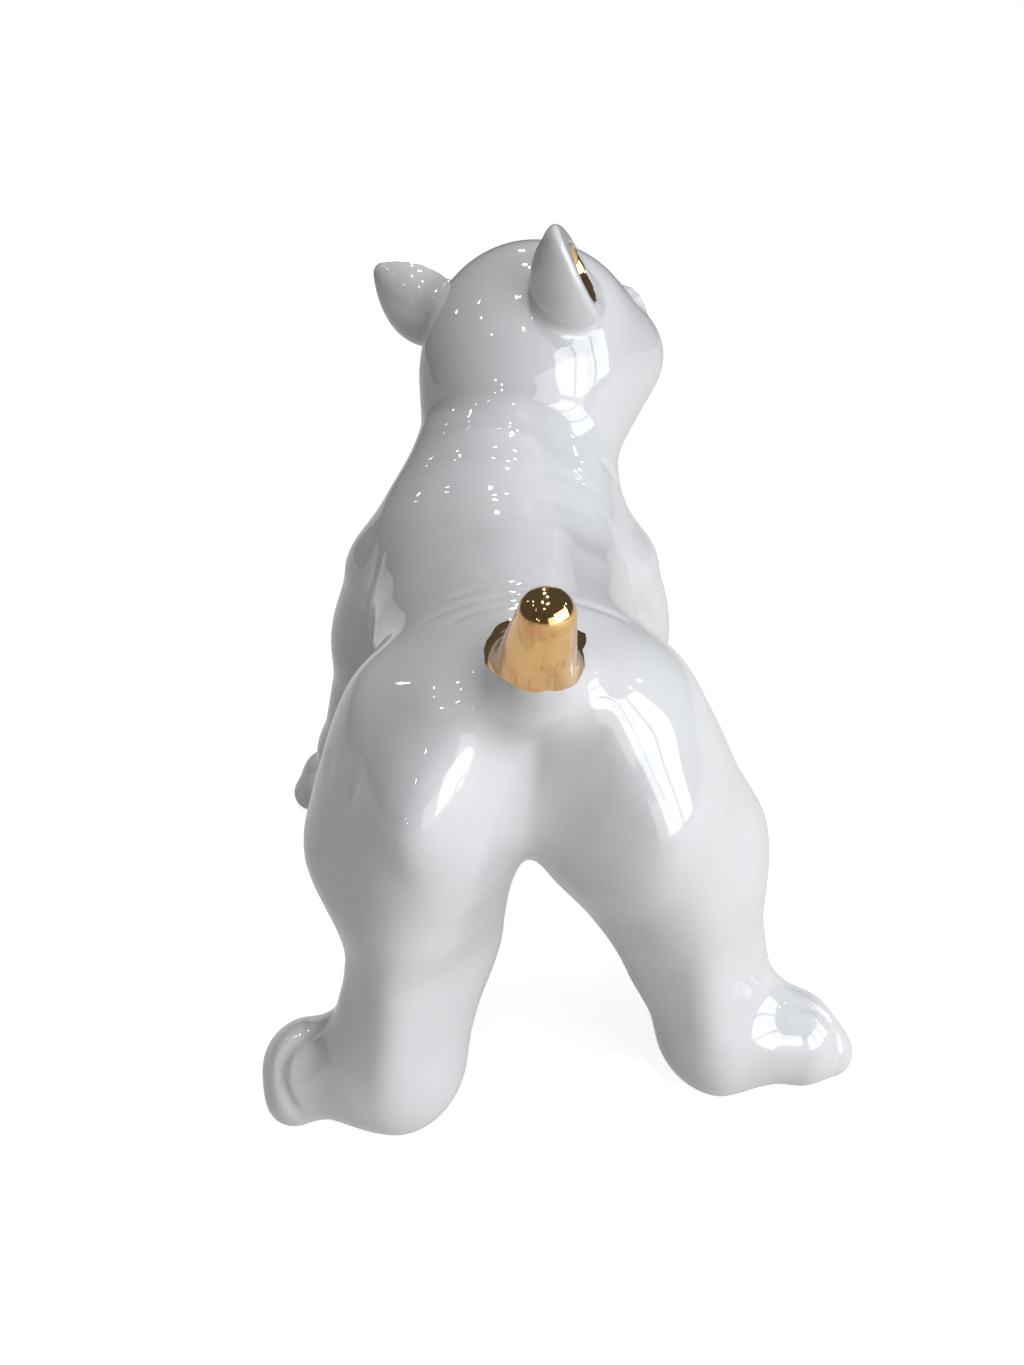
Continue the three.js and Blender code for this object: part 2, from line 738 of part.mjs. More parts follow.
for (const side of ["left", "right"]) {
  for (const [name, leg] of [[`${side}_foreleg`, fore[side]], [`${side}_hind_leg`, hind[side]]]) {
    const cast = toSolid(surface(bodyField, legZone(leg), legFacet));
    addPiece(name, cast.intersect(regionOf(name)).intersect(aboveSoles).subtract(hollow), whiteGlaze);
  }
}

addPiece("tail", toSolid(surface(bodyField, tailZone, tailFacet)).intersect(regionOf("tail")), goldLustre);
for (const [name, piece] of Object.entries(facePieces)) addPiece(name, faceInlay(piece, 0), goldLustre);

// The origin is on the floor under the middle of the figurine
const reach = new THREE.Box3().setFromObject(figurine);
const middle = reach.getCenter(at(0, 0, 0));
figurine.position.set(-middle.x, -middle.y, -soleTrim);

export default figurine;
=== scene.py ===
"""Ceramic puppy figurine in white glaze and gold lustre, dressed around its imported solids."""

import logging
import math
from dataclasses import dataclass, field
from enum import Enum

import bpy
import numpy as np
from mathutils import Matrix, Vector, geometry

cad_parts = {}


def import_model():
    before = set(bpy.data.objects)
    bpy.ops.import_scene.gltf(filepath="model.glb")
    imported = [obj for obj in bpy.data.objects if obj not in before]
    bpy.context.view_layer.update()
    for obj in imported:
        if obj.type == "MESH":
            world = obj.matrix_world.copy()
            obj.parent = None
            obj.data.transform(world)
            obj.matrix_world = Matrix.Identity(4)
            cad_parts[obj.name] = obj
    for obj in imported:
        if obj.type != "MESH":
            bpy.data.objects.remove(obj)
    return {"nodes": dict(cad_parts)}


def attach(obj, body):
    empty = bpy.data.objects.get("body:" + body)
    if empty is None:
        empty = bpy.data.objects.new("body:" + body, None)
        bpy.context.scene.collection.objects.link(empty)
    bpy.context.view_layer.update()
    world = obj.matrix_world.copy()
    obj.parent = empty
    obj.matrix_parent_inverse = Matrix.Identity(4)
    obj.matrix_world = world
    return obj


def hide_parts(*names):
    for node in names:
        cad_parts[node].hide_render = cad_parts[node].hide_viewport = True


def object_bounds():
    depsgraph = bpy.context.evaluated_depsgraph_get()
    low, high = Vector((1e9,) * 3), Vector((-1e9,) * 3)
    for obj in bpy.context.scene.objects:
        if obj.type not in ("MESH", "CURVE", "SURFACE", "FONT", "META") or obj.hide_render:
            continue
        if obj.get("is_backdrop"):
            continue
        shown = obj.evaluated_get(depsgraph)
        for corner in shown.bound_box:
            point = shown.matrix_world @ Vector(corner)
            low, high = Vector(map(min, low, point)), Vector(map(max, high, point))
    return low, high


log = logging.getLogger("figurine")

Point = tuple[float, float, float]
Rows = np.ndarray

METRES = 0.001
FAR_VALUE = 500.0
SURE_MARGIN = 28.0
POINTS_AT_ONCE = 300000
HALF_DIAGONAL = 0.87
BLOCK_SLACK = 1.7
SOLE_TRIM = 1.5


def rotation(turn: Point) -> Rows:
    """Gives the matrix that turns about X, then Y, then Z.

    Args:
        turn: the three angles in degrees.

    Returns:
        A 3 by 3 matrix from the turned frame to the outer one.
    """
    rx, ry, rz = (math.radians(angle) for angle in turn)
    about_x = np.array([[1, 0, 0], [0, math.cos(rx), -math.sin(rx)], [0, math.sin(rx), math.cos(rx)]])
    about_y = np.array([[math.cos(ry), 0, math.sin(ry)], [0, 1, 0], [-math.sin(ry), 0, math.cos(ry)]])
    about_z = np.array([[math.cos(rz), -math.sin(rz), 0], [math.sin(rz), math.cos(rz), 0], [0, 0, 1]])
    return about_z @ about_y @ about_x


def blend(first: Rows, second: Rows, reach: float) -> Rows:
    """Joins two distances with a fillet.

    Args:
        first: distances to one form.
        second: distances to the other form.
        reach: how far the fillet reaches, in millimetres.

    Returns:
        The distance to the joined form.
    """
    near = np.maximum(reach - np.abs(first - second), 0) / reach
    return np.minimum(first, second) - near * near * reach / 4


@dataclass(frozen=True)
class Pose:
    """A place and a turn of one frame inside another."""

    origin: Point
    turn: Rows

    def inward(self, points: Rows) -> Rows:
        """Gives outer points in this frame."""
        return (points - np.array(self.origin)) @ self.turn

    def outward(self, points: Rows) -> Rows:
        """Gives points of this frame in the outer one."""
        return points @ self.turn.T + np.array(self.origin)


class Form:
    """A clay form: its distance is negative inside and grows outwards in millimetres."""

    def ball(self) -> tuple[Rows, float]:
        """Gives the centre and radius of a ball that holds the form."""
        raise NotImplementedError

    def distance(self, points: Rows) -> Rows:
        """Gives the distance of each point from the form's surface."""
        raise NotImplementedError


@dataclass(frozen=True)
class Swelling(Form):
    """A rounded mass with three half sizes."""

    centre: Point
    radii: Point
    turn: Point = (0.0, 0.0, 0.0)

    def ball(self) -> tuple[Rows, float]:
        """Gives the ball around the mass."""
        return np.array(self.centre), max(self.radii)

    def distance(self, points: Rows) -> Rows:
        """Gives distances from the mass.

        Args:
            points: rows of points.

        Returns:
            Distances that are negative inside the mass.
        """
        radii = np.array(self.radii)
        local = points - np.array(self.centre)
        if any(self.turn):
            local = local @ rotation(self.turn)
        outer = np.linalg.norm(local / radii, axis=1)
        inner = np.linalg.norm(local / (radii * radii), axis=1)
        return np.where(inner > 1e-9, outer * (outer - 1) / np.maximum(inner, 1e-9), -radii.min())


@dataclass(frozen=True)
class Limb(Form):
    """A rounded bar that tapers from one end to the other."""

    start: Point
    end: Point
    start_radius: float
    end_radius: float

    def ball(self) -> tuple[Rows, float]:
        """Gives the ball around the bar."""
        start, end = np.array(self.start), np.array(self.end)
        return (start + end) / 2, np.linalg.norm(end - start) / 2 + max(self.start_radius, self.end_radius)

    def distance(self, points: Rows) -> Rows:
        """Gives distances from the bar.

        Args:
            points: rows of points.

        Returns:
            Distances that are negative inside the bar.
        """
        start = np.array(self.start)
        along = np.array(self.end) - start
        share = np.clip((points - start) @ along / (along @ along), 0, 1)
        gap = np.linalg.norm(points - start - share[:, None] * along, axis=1)
        return gap - (self.start_radius + (self.end_radius - self.start_radius) * share)


@dataclass(frozen=True)
class Slab(Form):
    """Everything behind a plane."""

    point: Point
    outward: Point
    size: float = 60.0

    def ball(self) -> tuple[Rows, float]:
        """Gives the ball in which the plane is wanted."""
        return np.array(self.point), self.size

    def distance(self, points: Rows) -> Rows:
        """Gives distances from the plane."""
        outward = np.array(self.outward) / np.linalg.norm(self.outward)
        return (points - np.array(self.point)) @ outward


@dataclass(frozen=True)
class Valley(Form):
    """The space between two slanting faces that meet along a line and open towards the back."""

    start: Point
    end: Point
    slant: float
    softness: float
    size: float = 60.0

    def ball(self) -> tuple[Rows, float]:
        """Gives the ball in which the valley is wanted."""
        return (np.array(self.start) + np.array(self.end)) / 2, self.size

    def distance(self, points: Rows) -> Rows:
        """Gives distances from the space of the valley.

        Args:
            points: rows of points.

        Returns:
            Distances that are negative inside the valley.
        """
        along = np.array(self.end, float) - np.array(self.start)
        along /= np.linalg.norm(along)
        back = np.array([0, -1, 0]) + along * along[1]
        back /= np.linalg.norm(back)
        offset = points - np.array(self.start)
        aside = np.sqrt((offset @ np.cross(along, back)) ** 2 + self.softness ** 2)
        lean = math.radians(self.slant)
        return aside * math.sin(lean) - (offset @ back) * math.cos(lean)


class Tool(Enum):
    """What a form does to the clay that is there."""

    ADD = "add"
    CARVE = "carve"
    PRESS = "press"


@dataclass(frozen=True)
class Crease(Form):
    """A line pressed into the clay, or raised where its depth is negative."""

    path: tuple[Point, ...]
    width: float
    depth: float

    def line(self) -> Rows:
        """Gives the path as a smooth row of points.

        Returns:
            Points along a curve that runs through the points of the path.
        """
        knots = np.array(self.path, float)
        if len(knots) < 3:
            return knots
        padded = np.vstack([2 * knots[0] - knots[1], knots, 2 * knots[-1] - knots[-2]])
        rows = []
        for i in range(len(knots) - 1):
            a, b, c, d = padded[i:i + 4]
            for t in np.linspace(0, 1, 5)[:-1]:
                rows.append(0.5 * (2 * b + (c - a) * t + (2 * a - 5 * b + 4 * c - d) * t * t
                                   + (3 * b - a - 3 * c + d) * t ** 3))
        rows.append(knots[-1])
        return np.array(rows)

    def ball(self) -> tuple[Rows, float]:
        """Gives the ball around the pressed line.

        Returns:
            The ball's middle and its radius.
        """
        line = self.line()
        centre = (line.min(0) + line.max(0)) / 2
        return centre, np.linalg.norm(line - centre, axis=1).max() + 3 * self.width

    def distance(self, points: Rows) -> Rows:
        """Gives how deep the clay is pressed at each point.

        Args:
            points: rows of points.

        Returns:
            The pressed depth at each point.
        """
        line = self.line()
        steps = np.linalg.norm(np.diff(line, axis=0), axis=1)
        run = np.concatenate([[0], np.cumsum(steps)])
        nearest = np.full(len(points), np.inf)
        place = np.zeros(len(points))
        for i, (start, end) in enumerate(zip(line[:-1], line[1:])):
            along = end - start
            share = np.clip((points - start) @ along / max(along @ along, 1e-9), 0, 1)
            gap = np.linalg.norm(points - start - share[:, None] * along, axis=1)
            closer = gap < nearest
            nearest = np.where(closer, gap, nearest)
            place = np.where(closer, run[i] + share * steps[i], place)
        ends = np.clip(np.minimum(place, run[-1] - place) / (0.28 * run[-1]), 0, 1)
        fade = 0.15 + 0.85 * ends * ends * (3 - 2 * ends)
        return self.depth * fade * np.exp(-(nearest / self.width) ** 2)


@dataclass(frozen=True)
class Dent(Form):
    """A soft hollow pressed by a thumb, or a muscle where its depth is negative."""

    centre: Point
    widths: Point
    depth: float
    turn: Point = (0.0, 0.0, 0.0)

    def ball(self) -> tuple[Rows, float]:
        """Gives the ball around the dent."""
        return np.array(self.centre), 2.6 * max(self.widths)

    def distance(self, points: Rows) -> Rows:
        """Gives how deep the clay is pressed at each point."""
        local = (points - np.array(self.centre)) @ rotation(self.turn) / np.array(self.widths)
        return self.depth * np.exp(-(local * local).sum(1))


@dataclass
class Clay(Form):
    """Forms worked together in order, in a frame of their own if a pose is given."""

    pose: Pose | None = None
    mirror: bool = False
    steps: list[tuple[Tool, Form, float]] = field(default_factory=list)

    def add(self, form: Form, reach: float = 1.0) -> "Clay":
        """Joins a form on with a fillet."""
        self.steps.append((Tool.ADD, form, reach))
        return self

    def carve(self, form: Form, reach: float = 1.0) -> "Clay":
        """Cuts a form out with a soft edge."""
        self.steps.append((Tool.CARVE, form, reach))
        return self

    def press(self, *forms: Form) -> "Clay":
        """Presses creases and dents into the surface.

        Args:
            forms: the creases and dents.

        Returns:
            The same clay.
        """
        for form in forms:
            self.steps.append((Tool.PRESS, form, 0.0))
        return self

    def ball(self) -> tuple[Rows, float]:
        """Gives the ball around everything that is added.

        Returns:
            The ball's middle and its radius.
        """
        balls = [form.ball() for tool, form, _ in self.steps if tool is Tool.ADD]
        if self.mirror:
            balls += [(centre * np.array([-1, 1, 1]), radius) for centre, radius in balls]
        centre = np.mean([each for each, _ in balls], axis=0)
        radius = max(np.linalg.norm(each - centre) + reach for each, reach in balls)
        if self.pose:
            centre = self.pose.outward(centre[None])[0]
        return centre, radius

    def distance(self, points: Rows) -> Rows:
        """Gives distances from the worked clay.

        Args:
            points: rows of points.

        Returns:
            Distances that are negative inside the clay.
        """
        if self.pose:
            points = self.pose.inward(points)
        if self.mirror:
            points = np.abs(points * np.array([1, 0, 0])) + points * np.array([0, 1, 1])
        value = np.full(len(points), FAR_VALUE)
        for tool, form, reach in self.steps:
            centre, radius = form.ball()
            margin = radius + (reach + SURE_MARGIN if tool is not Tool.PRESS else 0)
            near = ((points - centre) ** 2).sum(1) < margin * margin
            if near.any():
                change = form.distance(points[near])
                if tool is Tool.ADD:
                    value[near] = blend(value[near], change, reach)
                elif tool is Tool.CARVE:
                    value[near] = -blend(-value[near], change, reach)
                else:
                    value[near] += change
        return value

    def slope(self, points: Rows, step: float = 0.04) -> Rows:
        """Gives the direction in which the distance grows at each point.

        Args:
            points: rows of points.
            step: half the length over which the change is measured.

        Returns:
            A direction for each point.
        """
        rows = []
        for axis in range(3):
            offset = np.zeros(3)
            offset[axis] = step
            rows.append((self.distance(points + offset) - self.distance(points - offset)) / (2 * step))
        return np.stack(rows, 1)


@dataclass
class Skin:
    """A triangulated surface with a smooth normal at each point."""

    points: Rows
    normals: Rows
    faces: Rows

    def split(self, value: Rows) -> tuple["Skin", "Skin"]:
        """Cuts the surface along the line where a value is nought.

        Args:
            value: one number for each point.

        Returns:
            The part where the value is negative, and the rest.
        """
        value = np.where(np.abs(value) < 1e-4, 1e-4, value)
        inside = value < 0
        edges = np.sort(self.faces[:, [0, 1, 1, 2, 2, 0]].reshape(-1, 2), axis=1)
        unique, back = np.unique(edges, axis=0, return_inverse=True)
        crossing = inside[unique[:, 0]] != inside[unique[:, 1]]
        a, b = unique[crossing].T
        share = (value[a] / (value[a] - value[b]))[:, None]
        points = np.vstack([self.points, self.points[a] + share * (self.points[b] - self.points[a])])
        normals = np.vstack([self.normals, self.normals[a] + share * (self.normals[b] - self.normals[a])])
        normals /= np.linalg.norm(normals, axis=1)[:, None]
        new = np.full(len(unique), -1)
        new[crossing] = len(self.points) + np.arange(crossing.sum())
        on_edge = new[back.reshape(-1, 3)]
        count = inside[self.faces].sum(1)
        kept = [self.faces[count == 3]]
        rest = [self.faces[count == 0]]
        for lone, one, two in ((1, kept, rest), (2, rest, kept)):
            chosen = count == lone
            corner = self.faces[chosen]
            middle = on_edge[chosen]
            state = inside[corner] == (lone == 1)
            first = state.argmax(1)
            rows = np.arange(len(corner))
            v0, v1, v2 = (corner[rows, (first + k) % 3] for k in range(3))
            e01, e20 = middle[rows, first], middle[rows, (first + 2) % 3]
            one.append(np.stack([v0, e01, e20], 1))
            two.append(np.stack([e01, v1, v2], 1))
            two.append(np.stack([e01, v2, e20], 1))
        return tuple(Skin(points, normals, np.vstack(part)).tidy() for part in (kept, rest))

    def tidy(self) -> "Skin":
        """Drops the points that no face uses."""
        used, back = np.unique(self.faces, return_inverse=True)
        return Skin(self.points[used], self.normals[used], back.reshape(-1, 3))

    def joined(self, other: "Skin") -> "Skin":
        """Gives this surface and another as one.

        Args:
            other: the surface to take in.

        Returns:
            A surface with the points and faces of both.
        """
        return Skin(
            np.vstack([self.points, other.points]),
            np.vstack([self.normals, other.normals]),
            np.vstack([self.faces, other.faces + len(self.points)]),
        )

    def rims(self) -> list[list[int]]:
        """Gives each open edge as a loop of points, in the order of its faces.

        Returns:
            The loops, each a list of point numbers.
        """
        edges = self.faces[:, [0, 1, 1, 2, 2, 0]].reshape(-1, 2)
        size = len(self.points)
        keys = edges[:, 0] * size + edges[:, 1]
        reverse = edges[:, 1] * size + edges[:, 0]
        open_edges = edges[~np.isin(keys, reverse)]
        after = {int(a): int(b) for a, b in open_edges}
        loops = []
        while after:
            start, here = after.popitem()
            loop = [start]
            while here != start and here in after:
                loop.append(here)
                here = after.pop(here)
            loops.append(loop)
        return loops

    def shell(self, proud: float, thickness: float) -> "Skin":
        """Makes a closed film on the surface.

        Args:
            proud: how far its outside stands above the surface, in millimetres.
            thickness: its thickness, in millimetres.

        Returns:
            The closed film.
        """
        outer = self.points + self.normals * proud
        inner = self.points + self.normals * (proud - thickness)
        count = len(self.points)
        faces = [self.faces, self.faces[:, ::-1] + count]
        for loop in self.rims():
            ring = np.array(loop)
            after = np.roll(ring, -1)
            faces.append(np.stack([ring, ring + count, after + count], 1))
            faces.append(np.stack([ring, after + count, after], 1))
        return Skin(np.vstack([outer, inner]), np.vstack([self.normals, -self.normals]), np.vstack(faces))


def skin_of(form: Clay, low: Point, high: Point, cell: float, block: int = 5) -> Skin:
    """Finds the surface of worked clay.

    Args:
        form: the clay.
        low: the lowest corner of the box that it is looked for in, in millimetres.
        high: the highest corner.
        cell: the size of a facet.
        block: facets along each side of the blocks that are tried first.

    Returns:
        The surface, with normals from the slope of the clay.
    """
    low_corner = np.array(low, float)
    blocks = np.ceil((np.array(high) - low_corner) / (cell * block)).astype(int)
    nodes = blocks * block + 1
    middles = np.stack(np.meshgrid(*[np.arange(n) for n in blocks], indexing="ij"), -1).reshape(-1, 3)
    tried = form.distance(low_corner + (middles + 0.5) * block * cell)
    value = np.repeat(np.repeat(np.repeat(tried.reshape(blocks), block, 0), block, 1), block, 2)
    value = np.pad(value, ((0, 1),) * 3, mode="edge")
    wanted = np.zeros(nodes, bool)
    for i, j, k in middles[np.abs(tried) < cell * block * HALF_DIAGONAL * BLOCK_SLACK]:
        span = tuple(slice(step * block, (step + 1) * block + 1) for step in (i, j, k))
        wanted[span] = True
    places = np.argwhere(wanted)
    value[wanted] = np.concatenate([
        form.distance(low_corner + part * cell)
        for part in np.array_split(places, max(1, len(places) // POINTS_AT_ONCE))
    ])
    inside = value < 0
    size = nodes - 1
    corners = [(i, j, k) for i in (0, 1) for j in (0, 1) for k in (0, 1)]
    views = [tuple(slice(o, o + n) for o, n in zip(corner, size)) for corner in corners]
    count = sum(inside[view].astype(int) for view in views)
    mixed = (count > 0) & (count < 8)
    index = np.full(size, -1)
    cells = np.argwhere(mixed)
    index[mixed] = np.arange(len(cells))
    at_corner = np.stack([value[view][mixed] for view in views], 1)
    total, crossings = np.zeros((len(cells), 3)), np.zeros(len(cells))
    for a in range(8):
        for b in range(a + 1, 8):
            step = np.array(corners[b]) - np.array(corners[a])
            if np.abs(step).sum() == 1:
                crosses = (at_corner[:, a] < 0) != (at_corner[:, b] < 0)
                gap = np.where(crosses, at_corner[:, a] - at_corner[:, b], 1)
                share = np.where(crosses, at_corner[:, a] / gap, 0)
                total += np.where(crosses[:, None], np.array(corners[a]) + share[:, None] * step, 0)
                crossings += crosses
    points = low_corner + cell * (cells + total / crossings[:, None])
    quads = []
    for axis in range(3):
        one, two = np.eye(3, dtype=int)[(axis + 1) % 3], np.eye(3, dtype=int)[(axis + 2) % 3]
        before = tuple(slice(0, -1) if d == axis else slice(None) for d in range(3))
        behind = tuple(slice(1, None) if d == axis else slice(None) for d in range(3))
        at = np.argwhere(inside[before] != inside[behind])
        starts_inside = inside[before][tuple(at.T)]
        quad = np.stack([index[tuple((at - step).T)] for step in (one + two, two, 0 * one, one)], 1)
        quad[~starts_inside] = quad[~starts_inside][:, ::-1]
        quads.append(quad)
    quads = np.vstack(quads)
    for _ in range(3):
        slope = form.slope(points)
        move = -(form.distance(points) / np.maximum((slope * slope).sum(1), 0.1))[:, None] * slope
        length = np.linalg.norm(move, axis=1)[:, None]
        points = points + move * np.minimum(1, 0.4 * cell / np.maximum(length, 1e-9))
    slope = form.slope(points)
    normals = slope / np.maximum(np.linalg.norm(slope, axis=1), 1e-9)[:, None]
    return Skin(points, normals, np.vstack([quads[:, [0, 1, 2]], quads[:, [0, 2, 3]]]))


@dataclass(frozen=True)
class Seam:
    """Where two castings are luted together: a plane with a widening reach beyond it."""

    point: Point
    direction: Point
    near: float
    far: float
    length: float = 150.0

    def beyond(self, points: Rows) -> Rows:
        """Gives a value that is negative in what lies beyond the seam.

        Args:
            points: rows of points.

        Returns:
            A value for each point.
        """
        along = np.array(self.direction) / np.linalg.norm(self.direction)
        offset = points - np.array(self.point)
        run = offset @ along
        aside = np.linalg.norm(offset - run[:, None] * along, axis=1)
        return np.maximum(-run, aside - (self.near + (self.far - self.near) * run / self.length))


@dataclass
class Trunk:
    """The hollow trunk, from the chest to the rump, with the folds of its skin."""

    rump: Swelling = Swelling((0, -31, 128), (47, 38, 38))
    belly: Swelling = Swelling((0, 19, 128), (46, 56, 42))
    chest: Swelling = Swelling((0, 65, 136), (49, 36, 45))
    groove: Valley = Valley((2, -56, 150), (-4, -65, 96), 34, 3, 75)
    vent: Limb = Limb((0, 12, 60), (0, 12, 112), 5, 5)
    folds: tuple[Crease, ...] = (
        Crease(((5, -20.8, 167.2), (-4, -20.2, 167.2), (-10, -18.9, 166.5), (-16, -18.7, 165),
                (-22, -18.8, 162.7)), 1.7, 0.55),
        Crease(((3, -26.5, 167), (-4.7, -26.8, 166.9), (-10.3, -26.1, 166.1), (-16, -25.4, 164.8),
                (-22, -25.1, 162.6), (-28, -25, 159.3)), 1.5, 0.7),
        Crease(((0, -31.5, 166.6), (-5, -31.5, 166.4), (-10.7, -31.4, 165.6), (-16, -31.9, 164.2),
                (-21, -34, 162)), 1.3, 0.5),
        Crease(((12, -28, 165.8), (17, -28.5, 164.2), (23.3, -28.9, 161.7), (29.2, -28.5, 158.5),
                (34.8, -29.3, 154.8)), 1.6, 0.6),
    )
    arm_creases: tuple[Crease, ...] = (
        Crease(((37, 56, 178), (40, 58, 174.9), (44.1, 61.7, 168.3), (47, 62, 162)), 1.8, 1.0),
        Crease(((36, 39, 164), (38.7, 39, 158.5), (43.9, 36.7, 146.4), (48.6, 41.6, 132.3),
                (52.9, 47.1, 120.1), (57, 49.7, 111.3)), 2.2, 1.1),
        Crease(((-38, 42, 158), (-44, 38, 146), (-48, 43, 132), (-52, 48, 120), (-55, 52, 110)), 2.4, 0.9),
    )

    def model(self, clay: Clay) -> None:
        """Builds up the trunk."""
        clay.add(self.rump).add(self.belly, 20).add(self.chest, 25)

    def part_thighs(self, clay: Clay) -> None:
        """Cuts the groove under the tail, between the thighs."""
        clay.carve(self.groove, 8)

    def finish(self, clay: Clay) -> None:
        """Cuts the vent and presses the folds."""
        clay.carve(self.vent, 1.2).press(*self.folds, *self.arm_creases)


@dataclass
class Neck:
    """The thick neck with its rolls of skin."""

    base: Point = (3, 64, 149)
    top: Point = (16, 97, 189)
    base_radius: float = 33.5
    top_radius: float = 38.5
    seam_share: float = 0.62
    seam_width: float = 92.0
    seam_reach: float = 160.0
    rolls: tuple[Crease, ...] = (
        Crease(((-30, 95, 183), (-22.3, 82.4, 191), (-14.7, 69.7, 197), (-2.8, 60.9, 200.2),
                (10.3, 56.5, 199.8), (23.8, 56.2, 196.2), (38, 60, 188)), 4.5, 1.0),
        Crease(((-27, 76, 179), (-23.1, 67.8, 184.8), (-17.3, 62.5, 188.4), (-10.4, 58, 190.9),
                (-3.7, 54.8, 192.1), (2.9, 52.3, 191.9), (9.4, 50.8, 190.9), (15.9, 49.4, 188.4),
                (24.3, 49, 183.8), (33, 50, 176)), 2.0, 0.6),
        Crease(((-32, 64, 170), (-28.1, 57.4, 176.6), (-23.4, 54.6, 179.6), (-18.1, 51.6, 182),
                (-8.1, 46.4, 183.9), (1.8, 43.9, 184.3), (11.6, 42.2, 182.4), (21.6, 42.2, 178.6),
                (31.9, 43.9, 171.6), (38, 47, 163)), 2.4, 0.65),
        Crease(((-34, 50, 164), (-26.6, 43.4, 171.7), (-19.1, 39.5, 174.6), (-9.2, 35.4, 176.3),
                (0.5, 32.9, 176.4), (10.2, 31.6, 174.8), (20.1, 32, 171.5), (30, 34, 164)), 2.2, 0.45),
    )

    def model(self, clay: Clay) -> None:
        """Joins the neck to the trunk."""
        clay.add(Limb(self.base, self.top, self.base_radius, self.top_radius), 20)

    def finish(self, clay: Clay) -> None:
        """Presses the rolls of skin."""
        clay.press(*self.rolls)

    def seam(self) -> Seam:
        """Gives the seam under the head.

        Returns:
            The seam, with the head beyond it.
        """
        base, top = np.array(self.base), np.array(self.top)
        middle = tuple(base + self.seam_share * (top - base))
        return Seam(middle, tuple(top - base), self.seam_width, self.seam_width, self.seam_reach)


@dataclass
class Ear:
    """One pointed ear, in a frame of its own inside the head's: +Z is its length and +Y its open side."""

    side: int
    spread: float = 35.0
    set_back: float = 5.5
    rise: float = 22.5
    splay: float = 25.0
    lean: float = 28.0
    twist: float = 17.0
    tip: Limb = Limb((0, 2, 17), (0, 3.5, 26.5), 6.5, 3.2)
    face: Slab = Slab((0, -1.4, 0), (0, -1, 0.12), 60)
    hollow: Swelling = Swelling((0, 4.6, 10.5), (8.4, 7.2, 13.5))
    seam_off_skull: float = 44.0
    seam_width: float = 26.0
    seam_reach: float = 60.0

    def pose(self) -> Pose:
        """Gives the ear's place and turn in the head's frame.

        Returns:
            The pose that carries the ear's clay to the head.
        """
        turn = (rotation((0, self.side * self.splay, 0)) @ rotation((self.lean, 0, 0))
                @ rotation((0, 0, -self.side * self.twist)))
        return Pose((self.side * self.spread, -self.set_back, self.rise), turn)

    def form(self) -> Clay:
        """Gives the clay of the ear, with its open side hollowed.

        Returns:
            The clay at the ear's place in the head's frame.
        """
        clay = Clay(pose=self.pose())
        clay.add(Swelling((0, -1, 6), (14.5, 14, 15)))
        clay.add(Swelling((0, 1.5, 13.5), (10.5, 9.5, 14)), 9)
        clay.add(self.tip, 6)
        clay.carve(self.face, 2.2)
        clay.carve(self.hollow, 2.2)
        return clay

    def gilding(self, points: Rows) -> Rows:
        """Gives a value that is negative where the ear is gilded.

        Args:
            points: points in the head's frame.

        Returns:
            Distances from the brushed edge of the gold.
        """
        local = self.pose().inward(points)
        hollow = self.hollow.distance(local)
        ragged = 0.22 * np.sin(local[:, 2] * 1.3 + self.side)
        ragged = ragged + 0.16 * np.sin(local[:, 2] * 3.1 + local[:, 0] * 2)
        return np.maximum(hollow - 0.9 + ragged, -local[:, 1] - 4.0)

    def seam(self, head: Pose) -> Seam:
        """Gives the seam at the root of the ear.

        Args:
            head: the pose of the head.

        Returns:
            The seam in the puppy's frame.
        """
        root = np.array([self.side * self.spread, -self.set_back, self.rise])
        root *= self.seam_off_skull / np.linalg.norm(root)
        outer = head.outward(root[None])[0]
        direction = tuple(outer - np.array(head.origin))
        return Seam(tuple(outer), direction, self.seam_width, self.seam_width, self.seam_reach)


